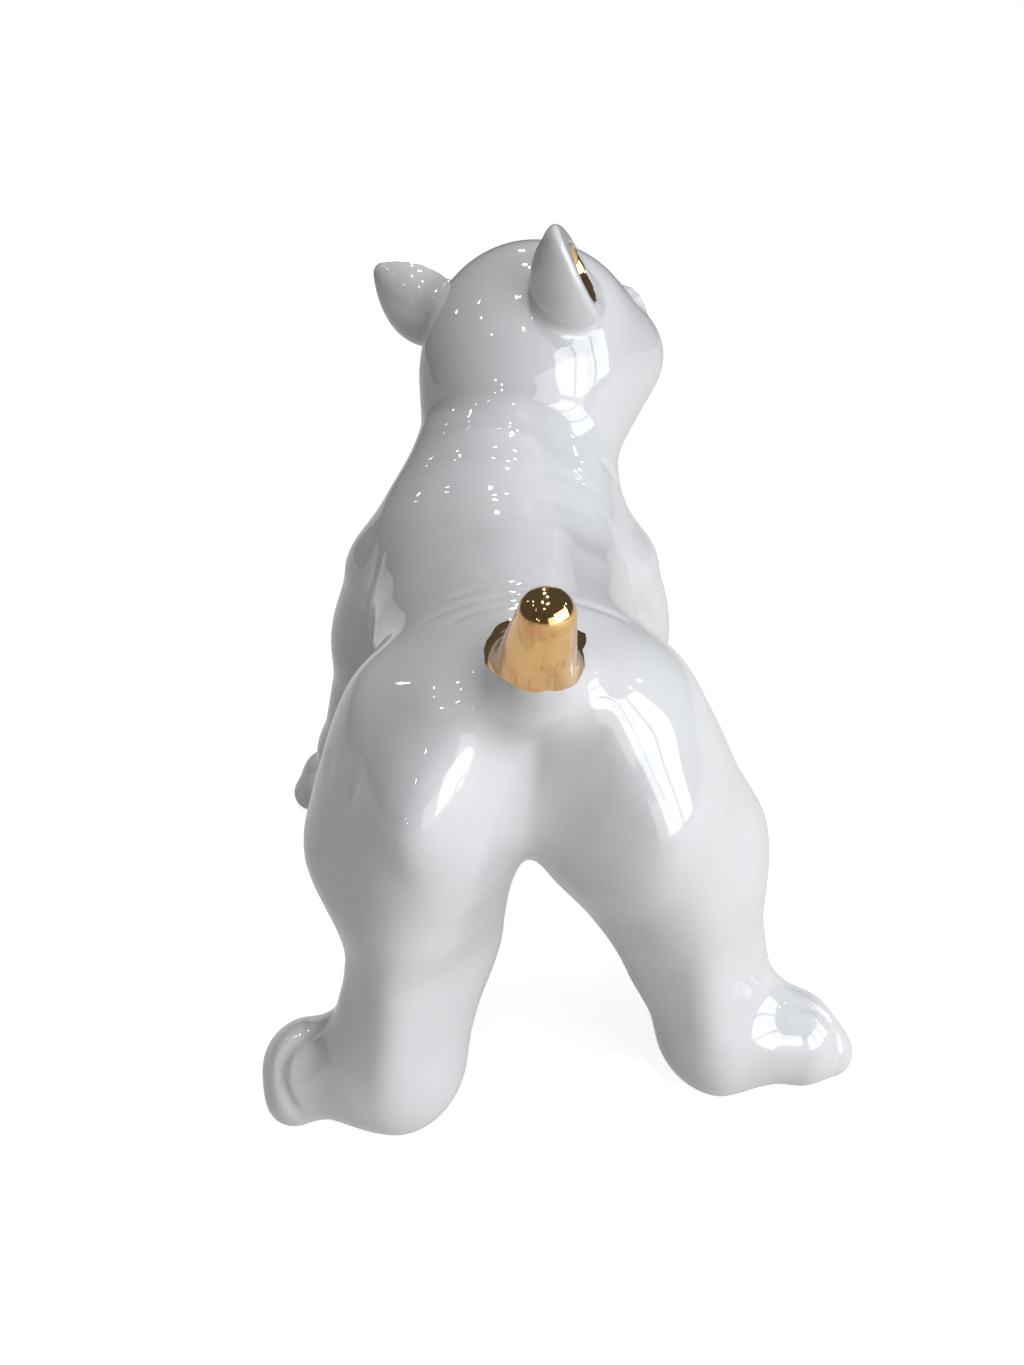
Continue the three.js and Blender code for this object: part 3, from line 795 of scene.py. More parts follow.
@dataclass
class Head:
    """The round head with its short muzzle, in a frame of its own: +Y is where it looks."""

    centre: Point = (20, 100, 203)
    heading: float = -46.0
    lift: float = 11.0
    tilt: float = -11.0
    eye_centre: Point = (17, 36, 3)
    eye_radii: Point = (7.5, 7, 7)
    eye_back: float = 34.0
    nose_centre: Point = (0, 50, -2)
    nose_radii: Point = (9, 7, 6.5)
    nose_back: float = 47.0

    def pose(self) -> Pose:
        """Gives the head's place and turn."""
        turn = (rotation((0, 0, self.heading)) @ rotation((self.lift, 0, 0)) @ rotation((0, self.tilt, 0)))
        return Pose(self.centre, turn)

    def form(self) -> Clay:
        """Gives the clay of the head without its ears.

        Returns:
            The clay in the head's own frame.
        """
        skull = Clay(pose=self.pose())
        skull.add(Swelling((0, 0, 0), (40, 41, 41)))
        skull.add(Swelling((0, 25, -12), (32.5, 27.5, 22)), 14)
        skull.add(Swelling((0, 36, -8), (19, 17, 14)), 8)
        skull.add(self.flews(), 4)
        skull.add(Swelling((0, 36, -24), (10, 10, 8)), 5)
        skull.add(self.brows(), 6)
        skull.carve(self.sockets(), 2.2)
        skull.add(self.lids(), 1.6)
        skull.press(*self.wrinkles())
        return skull

    def flews(self) -> Clay:
        """Gives the two hanging lips."""
        return Clay(mirror=True).add(Swelling((9, 42, -13), (11.5, 10, 10.5)))

    def brows(self) -> Clay:
        """Gives the two brows."""
        return Clay(mirror=True).add(Swelling((12, 27, 12), (8, 6, 6)))

    def sockets(self) -> Clay:
        """Gives the two hollows around the eyes."""
        return Clay(mirror=True).add(Swelling((17, 42, 3), (9.3, 5.8, 8.4)))

    def lids(self) -> Clay:
        """Gives the rims of the eyelids.

        Returns:
            The clay of both eyes' rims.
        """
        rim = Clay(mirror=True)
        knots = []
        for step in range(13):
            angle = 2 * math.pi * step / 12
            across, up = math.cos(angle), math.sin(angle)
            knots.append((17 + 8.1 * across, 38.3 - 2.0 * across, 3 + 7.3 * up))
        for first, second in zip(knots[:-1], knots[1:]):
            rim.add(Limb(first, second, 1.5, 1.5), 0.6)
        return rim

    def wrinkles(self) -> list[Crease]:
        """Gives the lines of the mouth, the lips and the forehead.

        Returns:
            The creases in the head's own frame.
        """
        lines = [
            Crease(((0, 57, -7), (0, 55, -12), (0, 53.5, -17), (0, 51, -21)), 1.2, 1.3),
            Crease(((-6, 46, 9.5), (0, 46.5, 8), (6, 46, 9.5)), 1.6, 0.9),
            Crease(((-9, 41, 16.5), (-3, 41.5, 14.5), (3, 41.5, 14.5), (9, 41, 16.5)), 1.8, 0.7),
        ]
        for side in (-1, 1):
            lines.append(Crease((
                (0, 50.5, -21.5), (side * 7, 49.5, -23.5), (side * 14, 45, -23), (side * 20, 38, -19.5),
                (side * 24.5, 33.5, -14.5),
            ), 1.5, 1.4))
            lines.append(Crease((
                (side * 11, 49, -1), (side * 14.5, 46.5, -5), (side * 19, 43, -10),
            ), 1.5, 0.6))
        return lines

    def sight(self, side: int) -> Clay:
        """Gives the clay of one eye.

        Args:
            side: -1 for the left eye and 1 for the right.

        Returns:
            The clay in the head's own frame.
        """
        x, y, z = self.eye_centre
        eye = Clay(pose=self.pose())
        eye.add(Swelling((side * x, y, z), self.eye_radii))
        eye.carve(Slab((0, self.eye_back, 0), (0, 1, 0), 80), 0.4)
        return eye

    def snout(self) -> Clay:
        """Gives the clay of the nose, with its nostrils.

        Returns:
            The clay in the head's own frame.
        """
        nose = Clay(pose=self.pose())
        nose.add(Swelling(self.nose_centre, self.nose_radii))
        nose.add(Clay(mirror=True).add(Swelling((4.6, 51.5, -3.2), (4.6, 4.8, 4.2))), 3)
        nose.carve(Slab((0, self.nose_back, 0), (0, 1, 0), 80), 0.4)
        for side in (-1, 1):
            nose.press(Dent((side * 4.4, 56.2, -3.4), (1.7, 2.4, 1.4), 1.9, (0, side * 25, 0)))
        nose.press(Crease(((0, 57.6, 0.5), (0, 57.6, -4), (0, 55.6, -8)), 0.8, 0.9))
        return nose


@dataclass
class HindLeg:
    """One thick hind leg with its turned-out foot."""

    side: int
    hip: Swelling
    stifle: Point
    stifle_radius: float
    hock: Point
    hock_radius: float
    heel: Point
    heel_radius: float
    ball: Point
    ball_radius: float
    heading: float
    toes_reach: float
    seam_height: float
    hamstring: tuple[Limb, ...]
    tendon: Limb
    flats: tuple[Slab, ...]
    marks: tuple[Form, ...] = ()
    toe_radius: float = 9.0
    toe_spread: float = 7.0

    def thigh(self) -> Clay:
        """Gives the clay of the haunch and the thigh.

        Returns:
            The clay that blends with the trunk.
        """
        hip = self.hip.centre
        thigh = (hip[0] * 0.6 + self.stifle[0] * 0.4, hip[1] * 0.6 + self.stifle[1] * 0.4, hip[2] - 16)
        leg = Clay().add(self.hip)
        for muscle in self.hamstring:
            leg.add(muscle, 14)
        return leg.add(Limb(thigh, self.stifle, self.stifle_radius + 1, self.stifle_radius), 18)

    def form(self) -> Clay:
        """Gives the clay of the leg below the thigh.

        Returns:
            The clay of the shank and the foot.
        """
        leg = Clay().add(Limb(self.stifle, self.hock, self.stifle_radius - 2, self.hock_radius))
        leg.add(Limb(self.hock, self.heel, self.hock_radius, self.heel_radius), 10)
        leg.add(self.tendon, 10)
        for flat in self.flats:
            leg.carve(flat, 8)
        instep = (self.heel[0], self.heel[1], self.ball_radius + 2)
        leg.add(Limb(instep, self.ball, self.ball_radius + 3, self.ball_radius + 0.5), 10)
        leg.add(toes(self.ball, self.heading, self.toe_radius, self.toe_spread, self.toes_reach), 5)
        return leg

    def seam(self) -> Seam:
        """Gives the seam above the hock.

        Returns:
            The seam, with the leg beyond it.
        """
        share = (self.stifle[2] - self.seam_height) / (self.stifle[2] - self.hock[2])
        point = np.array(self.stifle) + share * (np.array(self.hock) - np.array(self.stifle))
        foot = (np.array(self.heel) + np.array(self.ball)) / 2
        return Seam(tuple(point), tuple(foot - point), self.stifle_radius * 1.3, 80)


@dataclass
class Foreleg:
    """One straight foreleg with a round paw."""

    side: int
    shoulder: Point
    shoulder_radius: float
    elbow: Point
    elbow_radius: float
    wrist: Point
    wrist_radius: float = 15.5
    paw_outward: float = 17.0
    paw_forward: float = 24.0
    paw_height: float = 15.0
    toe_turn: float = 42.0
    toe_radius: float = 8.5
    toe_spread: float = 8.0
    toes_reach: float = 7.0
    toe_groove: float = 1.5

    def paw(self) -> Point:
        """Gives the middle of the paw."""
        outward = self.side * self.paw_outward
        return (self.wrist[0] + outward, self.wrist[1] + self.paw_forward, self.paw_height)

    def form(self) -> Clay:
        """Gives the clay of the leg.

        Returns:
            The clay of the arm, the wrist and the paw.
        """
        paw = self.paw()
        pastern = (self.wrist[0] * 0.75 + paw[0] * 0.25, self.wrist[1] * 0.75 + paw[1] * 0.25, 16)
        leg = Clay().add(Limb(self.shoulder, self.elbow, self.shoulder_radius, self.elbow_radius))
        leg.add(Limb(self.elbow, self.wrist, self.elbow_radius, self.wrist_radius), 14)
        leg.add(Limb(self.wrist, pastern, self.wrist_radius, 15), 8)
        leg.add(Limb(pastern, paw, 14.5, 13.5), 10)
        heading = 90 - self.toe_turn * self.side
        leg.add(toes(paw, heading, self.toe_radius, self.toe_spread, self.toes_reach), 4)
        return leg

    def toe_lines(self) -> list[Crease]:
        """Gives the grooves between the toes."""
        return toe_lines(self.paw(), 90 - self.toe_turn * self.side, self.toe_radius, self.toe_spread,
                         self.toes_reach, self.toe_groove)

    def seam(self) -> Seam:
        """Gives the seam at the elbow."""
        direction = tuple(np.array(self.paw()) - np.array(self.elbow))
        return Seam(self.elbow, direction, self.elbow_radius * 1.5, 60)


def toes(ball: Point, heading: float, radius: float, spread: float, reach: float) -> Clay:
    """Gives three toes side by side.

    Args:
        ball: the middle of the foot.
        heading: where the toes point, in degrees from +X.
        radius: the radius of a toe.
        spread: the distance between toes.
        reach: how far the middle toe stands out.

    Returns:
        The clay of the toes.
    """
    angle = math.radians(heading)
    foot = Clay()
    for step in (-1, 0, 1):
        across = np.array([-math.sin(angle), math.cos(angle), 0]) * step * spread
        ahead = np.array([math.cos(angle), math.sin(angle), 0]) * (reach - 1.6 * step * step)
        floor = np.array([ball[0], ball[1], radius])
        root = tuple(floor + 0.7 * across + np.array([0, 0, 1.5]))
        foot.add(Limb(root, tuple(floor + across + ahead - np.array([0, 0, 0.5])), radius, radius), 3)
    return foot


def toe_lines(
    ball: Point, heading: float, radius: float, spread: float, reach: float, depth: float,
) -> list[Crease]:
    """Gives the grooves that part three toes.

    Args:
        ball: the middle of the foot.
        heading: where the toes point, in degrees from +X.
        radius: the radius of a toe.
        spread: the distance between toes.
        reach: how far the middle toe stands out.
        depth: how deep the grooves are pressed.

    Returns:
        Two creases over the toes.
    """
    angle = math.radians(heading)
    ahead = np.array([math.cos(angle), math.sin(angle), 0])
    across = np.array([-math.sin(angle), math.cos(angle), 0])
    lines = []
    for side in (-1, 1):
        path = []
        for turn in (110, 80, 55, 30, 5, -20):
            lift = math.radians(turn)
            rim = ahead * (reach * 0.6 + (radius + 3) * math.cos(lift)) + across * side * spread * 0.62
            path.append(tuple(np.array([ball[0], ball[1], 0]) + rim
                              + np.array([0, 0, radius + (radius + 3.5) * math.sin(lift)])))
        lines.append(Crease(tuple(path), 1.9, depth))
    return lines


@dataclass
class Tail:
    """The short tail on the rump, gilded down to a brushed edge."""

    base: Point = (0.6, -57.2, 155.7)
    tip: Point = (3.6, -72, 182.3)
    base_radius: float = 12.0
    tip_radius: float = 7.2
    seam_up: float = 6.5
    seam_margin: float = 7.0
    seam_reach: float = 60.0
    gold_edge: tuple[Point, ...] = (
        (14.3, -52.3, 161.5), (12.8, -57.5, 160.5), (6.3, -69.6, 160.8), (2.6, -72.1, 162.2),
        (-0.9, -72.1, 161.9), (-5.8, -69.9, 162.9), (-9.1, -64.9, 163.8), (-10.0, -51.2, 162.2),
        (-6.0, -41.5, 164.3), (6.0, -38.0, 165.5), (15.2, -45.0, 161.1),
    )
    gold_reach: float = 27.0

    def form(self) -> Limb:
        """Gives the clay of the tail."""
        return Limb(self.base, self.tip, self.base_radius, self.tip_radius)

    def seam(self) -> Seam:
        """Gives the seam at the root of the tail.

        Returns:
            The seam, with the tail beyond it.
        """
        base, tip = np.array(self.base), np.array(self.tip)
        along = (tip - base) / np.linalg.norm(tip - base)
        width = self.base_radius + self.seam_margin
        return Seam(tuple(base + self.seam_up * along), tuple(along), width, width, self.seam_reach)

    def around(self, points: Rows) -> tuple[Rows, Rows, Rows]:
        """Gives the angle of points around the tail, their place along it and their distance from it.

        Args:
            points: rows of points.

        Returns:
            The angles, the places along and the distances.
        """
        along = np.array(self.tip) - np.array(self.base)
        along /= np.linalg.norm(along)
        across = np.cross((0, 0, 1), along)
        across /= np.linalg.norm(across)
        offset = points - np.array(self.base)
        run = offset @ along
        flat = offset - run[:, None] * along
        return np.arctan2(flat @ np.cross(along, across), flat @ across), run, np.linalg.norm(flat, axis=1)

    def gilding(self, points: Rows) -> Rows:
        """Gives a value that is negative where the tail and its root are gilded.

        Args:
            points: points on the figurine.

        Returns:
            How far each point lies below the brushed edge of the gold, in millimetres.
        """
        edge_angle, edge_run, _ = self.around(np.array(self.gold_edge))
        order = np.argsort(edge_angle)
        angle, run, off = self.around(points)
        edge = np.interp(angle, edge_angle[order], edge_run[order], period=2 * math.pi)
        ragged = 0.3 * np.sin(5 * angle + 2.1) + 0.15 * np.sin(11 * angle) + 0.08 * np.sin(23 * angle + 1)
        return np.maximum(edge + ragged - run, off - self.gold_reach)


# Finishes


class NodeKit:
    """Short ways to place and join nodes in one tree."""

    def __init__(self, tree: bpy.types.NodeTree) -> None:
        """Starts on a tree."""
        self.tree = tree

    def place(self, kind: str, **settings: object) -> bpy.types.Node:
        """Adds a node.

        Args:
            kind: the node's type name.
            settings: values of the node's own properties.

        Returns:
            The node.
        """
        node = self.tree.nodes.new(kind)
        for name, value in settings.items():
            setattr(node, name, value)
        return node

    def join(self, start: bpy.types.NodeSocket, end: bpy.types.NodeSocket) -> None:
        """Links an output to an input."""
        self.tree.links.new(start, end)

    def noise(self, vector: bpy.types.NodeSocket, scale: float, detail: float = 3.0,
              rough: float = 0.5) -> bpy.types.Node:
        """Adds noise over a vector.

        Args:
            vector: the socket of the coordinates.
            scale: how fine the noise is.
            detail: the number of octaves.
            rough: the share of the finer octaves.

        Returns:
            The noise node.
        """
        node = self.place("ShaderNodeTexNoise")
        node.inputs["Scale"].default_value = scale
        node.inputs["Detail"].default_value = detail
        node.inputs["Roughness"].default_value = rough
        self.join(vector, node.inputs["Vector"])
        return node

    def math(self, operation: str, first: object, second: object = 0.0,
             clamp: bool = False) -> bpy.types.NodeSocket:
        """Adds a sum of two numbers or sockets and gives its output.

        Args:
            operation: the name of the sum.
            first: a number or a socket.
            second: a number or a socket.
            clamp: whether the result stays between 0 and 1.

        Returns:
            The socket of the result.
        """
        node = self.place("ShaderNodeMath", operation=operation, use_clamp=clamp)
        for socket, value in zip(node.inputs, (first, second)):
            if isinstance(value, bpy.types.NodeSocket):
                self.join(value, socket)
            else:
                socket.default_value = value
        return node.outputs[0]

    def spread(self, value: bpy.types.NodeSocket, low: float, high: float, to_low: float = 0.0,
               to_high: float = 1.0) -> bpy.types.NodeSocket:
        """Maps a range of a value to another with soft ends.

        Args:
            value: the socket to map.
            low: the value that gives to_low.
            high: the value that gives to_high.
            to_low: the result at the low end.
            to_high: the result at the high end.

        Returns:
            The socket of the result.
        """
        node = self.place("ShaderNodeMapRange", interpolation_type="SMOOTHSTEP")
        self.join(value, node.inputs["Value"])
        for name, number in zip(("From Min", "From Max", "To Min", "To Max"), (low, high, to_low, to_high)):
            node.inputs[name].default_value = number
        return node.outputs["Result"]

    def mix(self, share: bpy.types.NodeSocket, first: object, second: object) -> bpy.types.NodeSocket:
        """Mixes two colours, each a socket or a plain colour.

        Args:
            share: the socket with the second colour's share.
            first: the first colour.
            second: the second colour.

        Returns:
            The socket of the mixed colour.
        """
        node = self.place("ShaderNodeMix", data_type="RGBA")
        self.join(share, node.inputs["Factor"])
        for socket, value in zip((node.inputs[6], node.inputs[7]), (first, second)):
            if isinstance(value, bpy.types.NodeSocket):
                self.join(value, socket)
            else:
                socket.default_value = (*value, 1.0)
        return node.outputs[2]


def new_group(name: str, inputs: dict[str, tuple[str, object]], outputs: dict[str, str]) -> tuple:
    """Starts a shader node group.

    Args:
        name: the group's name.
        inputs: for each input its socket type and value.
        outputs: for each output its socket type.

    Returns:
        The tree, its kit, its group input node and its group output node.
    """
    tree = bpy.data.node_groups.new(name, "ShaderNodeTree")
    for label, (kind, value) in inputs.items():
        socket = tree.interface.new_socket(name=label, in_out="INPUT", socket_type=kind)
        socket.default_value = value
    for label, kind in outputs.items():
        tree.interface.new_socket(name=label, in_out="OUTPUT", socket_type=kind)
    kit = NodeKit(tree)
    return tree, kit, kit.place("NodeGroupInput"), kit.place("NodeGroupOutput")


def glaze_ripple_group() -> bpy.types.NodeTree:
    """Builds the slow waviness of fired glaze, with its pinholes, as a height.

    Returns:
        The node group.
    """
    tree, kit, given, out = new_group(
        "glaze_ripple",
        {"Wave Size": ("NodeSocketFloat", 60.0), "Wave Depth": ("NodeSocketFloat", 1.0),
         "Pinhole Share": ("NodeSocketFloat", 0.1)},
        {"Height": "NodeSocketFloat", "Pinholes": "NodeSocketFloat"},
    )
    where = kit.place("ShaderNodeTexCoord").outputs["Object"]
    slow = kit.noise(where, 60.0, 1.5, 0.4)
    kit.join(given.outputs["Wave Size"], slow.inputs["Scale"])
    fine = kit.noise(where, 420.0, 1.0, 0.4)
    wave = kit.math("ADD", slow.outputs["Fac"], kit.math("MULTIPLY", fine.outputs["Fac"], 0.035))
    wave = kit.math("MULTIPLY", wave, given.outputs["Wave Depth"])
    cells = kit.place("ShaderNodeTexVoronoi", feature="F1")
    cells.inputs["Scale"].default_value = 130.0
    kit.join(where, cells.inputs["Vector"])
    chance = kit.place("ShaderNodeSeparateColor")
    kit.join(cells.outputs["Color"], chance.inputs["Color"])
    chosen = kit.math("LESS_THAN", chance.outputs["Red"], given.outputs["Pinhole Share"])
    pit = kit.math("MULTIPLY", kit.spread(cells.outputs["Distance"], 0.035, 0.02), chosen)
    kit.join(pit, out.inputs["Pinholes"])
    kit.join(kit.math("SUBTRACT", wave, kit.math("MULTIPLY", pit, 0.35)), out.inputs["Height"])
    return tree


def glaze_tone_group() -> bpy.types.NodeTree:
    """Builds the faint clouds in a glaze's colour, a little darker where it pools.

    Returns:
        The node group.
    """
    tree, kit, given, out = new_group(
        "glaze_tone",
        {"Colour": ("NodeSocketColor", (0.8, 0.8, 0.8, 1.0)),
         "Pooled Colour": ("NodeSocketColor", (0.7, 0.7, 0.7, 1.0)),
         "Speck Colour": ("NodeSocketColor", (0.3, 0.28, 0.25, 1.0)), "Pinholes": ("NodeSocketFloat", 0.0)},
        {"Colour": "NodeSocketColor", "Gloss Loss": "NodeSocketFloat"},
    )
    where = kit.place("ShaderNodeTexCoord").outputs["Object"]
    clouds = kit.noise(where, 22.0, 4.0, 0.55)
    share = kit.spread(clouds.outputs["Fac"], 0.35, 0.75)
    toned = kit.mix(share, (1, 1, 1), (1, 1, 1))
    mixer = toned.node
    kit.join(given.outputs["Colour"], mixer.inputs[6])
    kit.join(given.outputs["Pooled Colour"], mixer.inputs[7])
    specked = kit.mix(kit.math("MULTIPLY", given.outputs["Pinholes"], 0.5), toned, (1, 1, 1))
    kit.join(given.outputs["Speck Colour"], specked.node.inputs[7])
    kit.join(specked, out.inputs["Colour"])
    haze = kit.noise(where, 45.0, 3.0, 0.6)
    kit.join(kit.spread(haze.outputs["Fac"], 0.45, 0.8), out.inputs["Gloss Loss"])
    return tree


def lustre_brush_group() -> bpy.types.NodeTree:
    """Builds the strokes of a lustre brush: thin streaks, thick pools and their colours.

    Returns:
        The node group.
    """
    tree, kit, given, out = new_group(
        "lustre_brush",
        {"Thick Colour": ("NodeSocketColor", (0.8, 0.55, 0.2, 1.0)),
         "Thin Colour": ("NodeSocketColor", (0.6, 0.35, 0.18, 1.0)),
         "Stroke Length": ("NodeSocketFloat", 0.15)},
        {"Colour": "NodeSocketColor", "Roughness": "NodeSocketFloat", "Height": "NodeSocketFloat"},
    )
    where = kit.place("ShaderNodeTexCoord").outputs["Object"]
    stretch = kit.place("ShaderNodeVectorMath", operation="MULTIPLY")
    kit.join(where, stretch.inputs[0])
    combine = kit.place("ShaderNodeCombineXYZ")
    combine.inputs[0].default_value = 1.0
    combine.inputs[1].default_value = 1.0
    kit.join(given.outputs["Stroke Length"], combine.inputs[2])
    kit.join(combine.outputs[0], stretch.inputs[1])
    strokes = kit.noise(stretch.outputs[0], 700.0, 3.0, 0.6)
    pools = kit.noise(where, 120.0, 2.0, 0.5)
    thin = kit.math("ADD", kit.math("MULTIPLY", strokes.outputs["Fac"], 0.45),
                    kit.math("MULTIPLY", pools.outputs["Fac"], 0.55))
    share = kit.spread(thin, 0.46, 0.66)
    colour = kit.mix(share, (1, 1, 1), (1, 1, 1))
    kit.join(given.outputs["Thick Colour"], colour.node.inputs[6])
    kit.join(given.outputs["Thin Colour"], colour.node.inputs[7])
    kit.join(colour, out.inputs["Colour"])
    kit.join(kit.spread(thin, 0.4, 0.75, 0.05, 0.22), out.inputs["Roughness"])
    height = kit.math("ADD", kit.math("MULTIPLY", strokes.outputs["Fac"], 0.25), pools.outputs["Fac"])
    kit.join(height, out.inputs["Height"])
    return tree


@dataclass(frozen=True)
class WhiteGlaze:
    """A thick glossy white glaze, wavy enough to bend what it reflects."""

    groups: dict[str, bpy.types.NodeTree]
    colour: Point = (0.735, 0.745, 0.765)
    pooled: Point = (0.70, 0.705, 0.715)
    speck: Point = (0.36, 0.33, 0.3)
    roughness: tuple[float, float] = (0.045, 0.11)
    wave_size: float = 48.0
    wave_depth: float = 1.0

    def material(self) -> bpy.types.Material:
        """Gives the material.

        Returns:
            The white glaze.
        """
        material = bpy.data.materials.new("white_glaze")
        material.use_nodes = True
        kit = NodeKit(material.node_tree)
        shader = material.node_tree.nodes["Principled BSDF"]
        ripple = kit.place("ShaderNodeGroup", node_tree=self.groups["ripple"])
        ripple.inputs["Wave Size"].default_value = self.wave_size
        ripple.inputs["Wave Depth"].default_value = self.wave_depth
        ripple.inputs["Pinhole Share"].default_value = 0.05
        tone = kit.place("ShaderNodeGroup", node_tree=self.groups["tone"])
        tone.inputs["Colour"].default_value = (*self.colour, 1)
        tone.inputs["Pooled Colour"].default_value = (*self.pooled, 1)
        tone.inputs["Speck Colour"].default_value = (*self.speck, 1)
        kit.join(ripple.outputs["Pinholes"], tone.inputs["Pinholes"])
        kit.join(tone.outputs["Colour"], shader.inputs["Base Color"])
        kit.join(kit.spread(tone.outputs["Gloss Loss"], 0, 1, *self.roughness), shader.inputs["Roughness"])
        bump = kit.place("ShaderNodeBump")
        bump.inputs["Strength"].default_value = 0.55
        bump.inputs["Distance"].default_value = 0.0007
        kit.join(ripple.outputs["Height"], bump.inputs["Height"])
        kit.join(bump.outputs["Normal"], shader.inputs["Normal"])
        shader.inputs["IOR"].default_value = 1.56
        shader.inputs["Coat Weight"].default_value = 0.3
        shader.inputs["Coat Roughness"].default_value = 0.02
        shader.inputs["Coat IOR"].default_value = 1.5
        return material


@dataclass(frozen=True)
class GoldLustre:
    """Bright gold lustre fired onto the glaze, brushed on by hand."""

    groups: dict[str, bpy.types.NodeTree]
    thick: Point = (0.82, 0.52, 0.22)
    thin: Point = (0.66, 0.36, 0.15)

    def material(self) -> bpy.types.Material:
        """Gives the material.

        Returns:
            The gold lustre.
        """
        material = bpy.data.materials.new("gold_lustre")
        material.use_nodes = True
        kit = NodeKit(material.node_tree)
        shader = material.node_tree.nodes["Principled BSDF"]
        brush = kit.place("ShaderNodeGroup", node_tree=self.groups["brush"])
        brush.inputs["Thick Colour"].default_value = (*self.thick, 1)
        brush.inputs["Thin Colour"].default_value = (*self.thin, 1)
        brush.inputs["Stroke Length"].default_value = 0.2
        kit.join(brush.outputs["Colour"], shader.inputs["Base Color"])
        kit.join(brush.outputs["Roughness"], shader.inputs["Roughness"])
        ripple = kit.place("ShaderNodeGroup", node_tree=self.groups["ripple"])
        ripple.inputs["Wave Size"].default_value = 90.0
        ripple.inputs["Pinhole Share"].default_value = 0.08
        strokes = kit.math("MULTIPLY", brush.outputs["Height"], 0.12)
        height = kit.math("ADD", ripple.outputs["Height"], strokes)
        bump = kit.place("ShaderNodeBump")
        bump.inputs["Strength"].default_value = 0.4
        bump.inputs["Distance"].default_value = 0.0006
        kit.join(height, bump.inputs["Height"])
        kit.join(bump.outputs["Normal"], shader.inputs["Normal"])
        shader.inputs["Metallic"].default_value = 1.0
        shader.inputs["Coat Weight"].default_value = 0.3
        shader.inputs["Coat Roughness"].default_value = 0.03
        return material


@dataclass(frozen=True)
class BareClay:
    """The fired white clay of the rubbed soles, which carry no glaze."""

    groups: dict[str, bpy.types.NodeTree]
    colour: Point = (0.66, 0.63, 0.58)
    worn: Point = (0.52, 0.48, 0.43)

    def material(self) -> bpy.types.Material:
        """Gives the material.

        Returns:
            The bare clay.
        """
        material = bpy.data.materials.new("bare_clay")
        material.use_nodes = True
        kit = NodeKit(material.node_tree)
        shader = material.node_tree.nodes["Principled BSDF"]
        where = kit.place("ShaderNodeTexCoord").outputs["Object"]
        grit = kit.noise(where, 2600.0, 4.0, 0.7)
        smears = kit.noise(where, 160.0, 4.0, 0.6)
        colour = kit.mix(kit.spread(smears.outputs["Fac"], 0.4, 0.75), self.colour, self.worn)
        kit.join(colour, shader.inputs["Base Color"])
        kit.join(kit.spread(grit.outputs["Fac"], 0.2, 0.8, 0.6, 0.85), shader.inputs["Roughness"])
        bump = kit.place("ShaderNodeBump")
        bump.inputs["Strength"].default_value = 0.35
        bump.inputs["Distance"].default_value = 0.0002
        kit.join(grit.outputs["Fac"], bump.inputs["Height"])
        kit.join(bump.outputs["Normal"], shader.inputs["Normal"])
        return material


# Pieces


@dataclass
class Workshop:
    """Makes Blender pieces from surfaces and hides the solids that each stands for."""

    glaze: bpy.types.Material
    lustre: bpy.types.Material
    clay: bpy.types.Material
    stand: Point = (0.0, 0.0, 0.0)

    def stand_on(self, skin: Skin, low: Rows, high: Rows) -> None:
        """Moves all work so that a surface stands in the middle of a box of the frame, on its floor.

        Args:
            skin: the surface of the whole figurine.
            low: the lowest corner of the box, in metres.
            high: the highest corner.
        """
        middle = (np.array(low) + np.array(high)) / 2 / METRES
        own = (skin.points.min(0) + skin.points.max(0)) / 2
        floor = np.array(low)[2] / METRES - SOLE_TRIM
        self.stand = (float(middle[0] - own[0]), float(middle[1] - own[1]), float(floor))
        log.info("stands at %.2f, %.2f, %.2f", *self.stand)

    def piece(self, name: str, skin: Skin, materials: list[bpy.types.Material], slot: str, *nodes: str,
              sole: bool = False) -> bpy.types.Object:
        """Makes one closed piece that rides on the figurine.

        Args:
            name: the piece's name.
            skin: its surface, whose open edges are closed flat.
            materials: its finishes; the second one is for the soles.
            slot: not used.
            nodes: the solids that it stands for.
            sole: whether its lowest flat face is bare clay.

        Returns:
            The object.
        """
        faces = [skin.faces]
        flat = []
        for loop in skin.rims():
            corners = [Vector(skin.points[i]) for i in reversed(loop)]
            outward = np.zeros(3)
            for one, two in zip(corners, corners[1:] + corners[:1]):
                outward += np.array(one.cross(two))
            order = list(reversed(loop))
            triangles = geometry.tessellate_polygon([corners])
            cap = np.array([[order[i] for i in triangle] for triangle in triangles])
            if not len(cap):
                continue
            a, b, c = (skin.points[cap[:, k]] for k in range(3))
            wrong = (np.cross(b - a, c - a) @ outward) < 0
            cap[wrong] = cap[wrong][:, ::-1]
            faces.append(cap)
            flat += [outward / np.linalg.norm(outward)] * len(cap)
        every = np.vstack(faces)
        mesh = bpy.data.meshes.new(name)
        mesh.from_pydata(((skin.points + np.array(self.stand)) * METRES).tolist(), [], every.tolist())
        normals = skin.normals[every].copy()
        lids = len(every) - len(skin.faces)
        if lids:
            normals[-lids:] = np.array(flat)[:, None, :]
        mesh.polygons.foreach_set("use_smooth", np.ones(len(every), bool))
        for material in materials:
            mesh.materials.append(material)
        if sole and lids:
            index = np.zeros(len(every), np.int32)
            index[-lids:] = np.array([1 if normal[2] < -0.98 else 0 for normal in flat])
            mesh.polygons.foreach_set("material_index", index)
        mesh.validate(clean_customdata=False)
        if len(mesh.polygons) == len(every):
            mesh.normals_split_custom_set(normals.reshape(-1, 3).tolist())
        mesh.update()
        made = bpy.data.objects.new(name, mesh)
        bpy.context.scene.collection.objects.link(made)
        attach(made, "root")
        if nodes:
            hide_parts(*nodes)
        log.info("%s: %d faces", name, len(every))
        return made


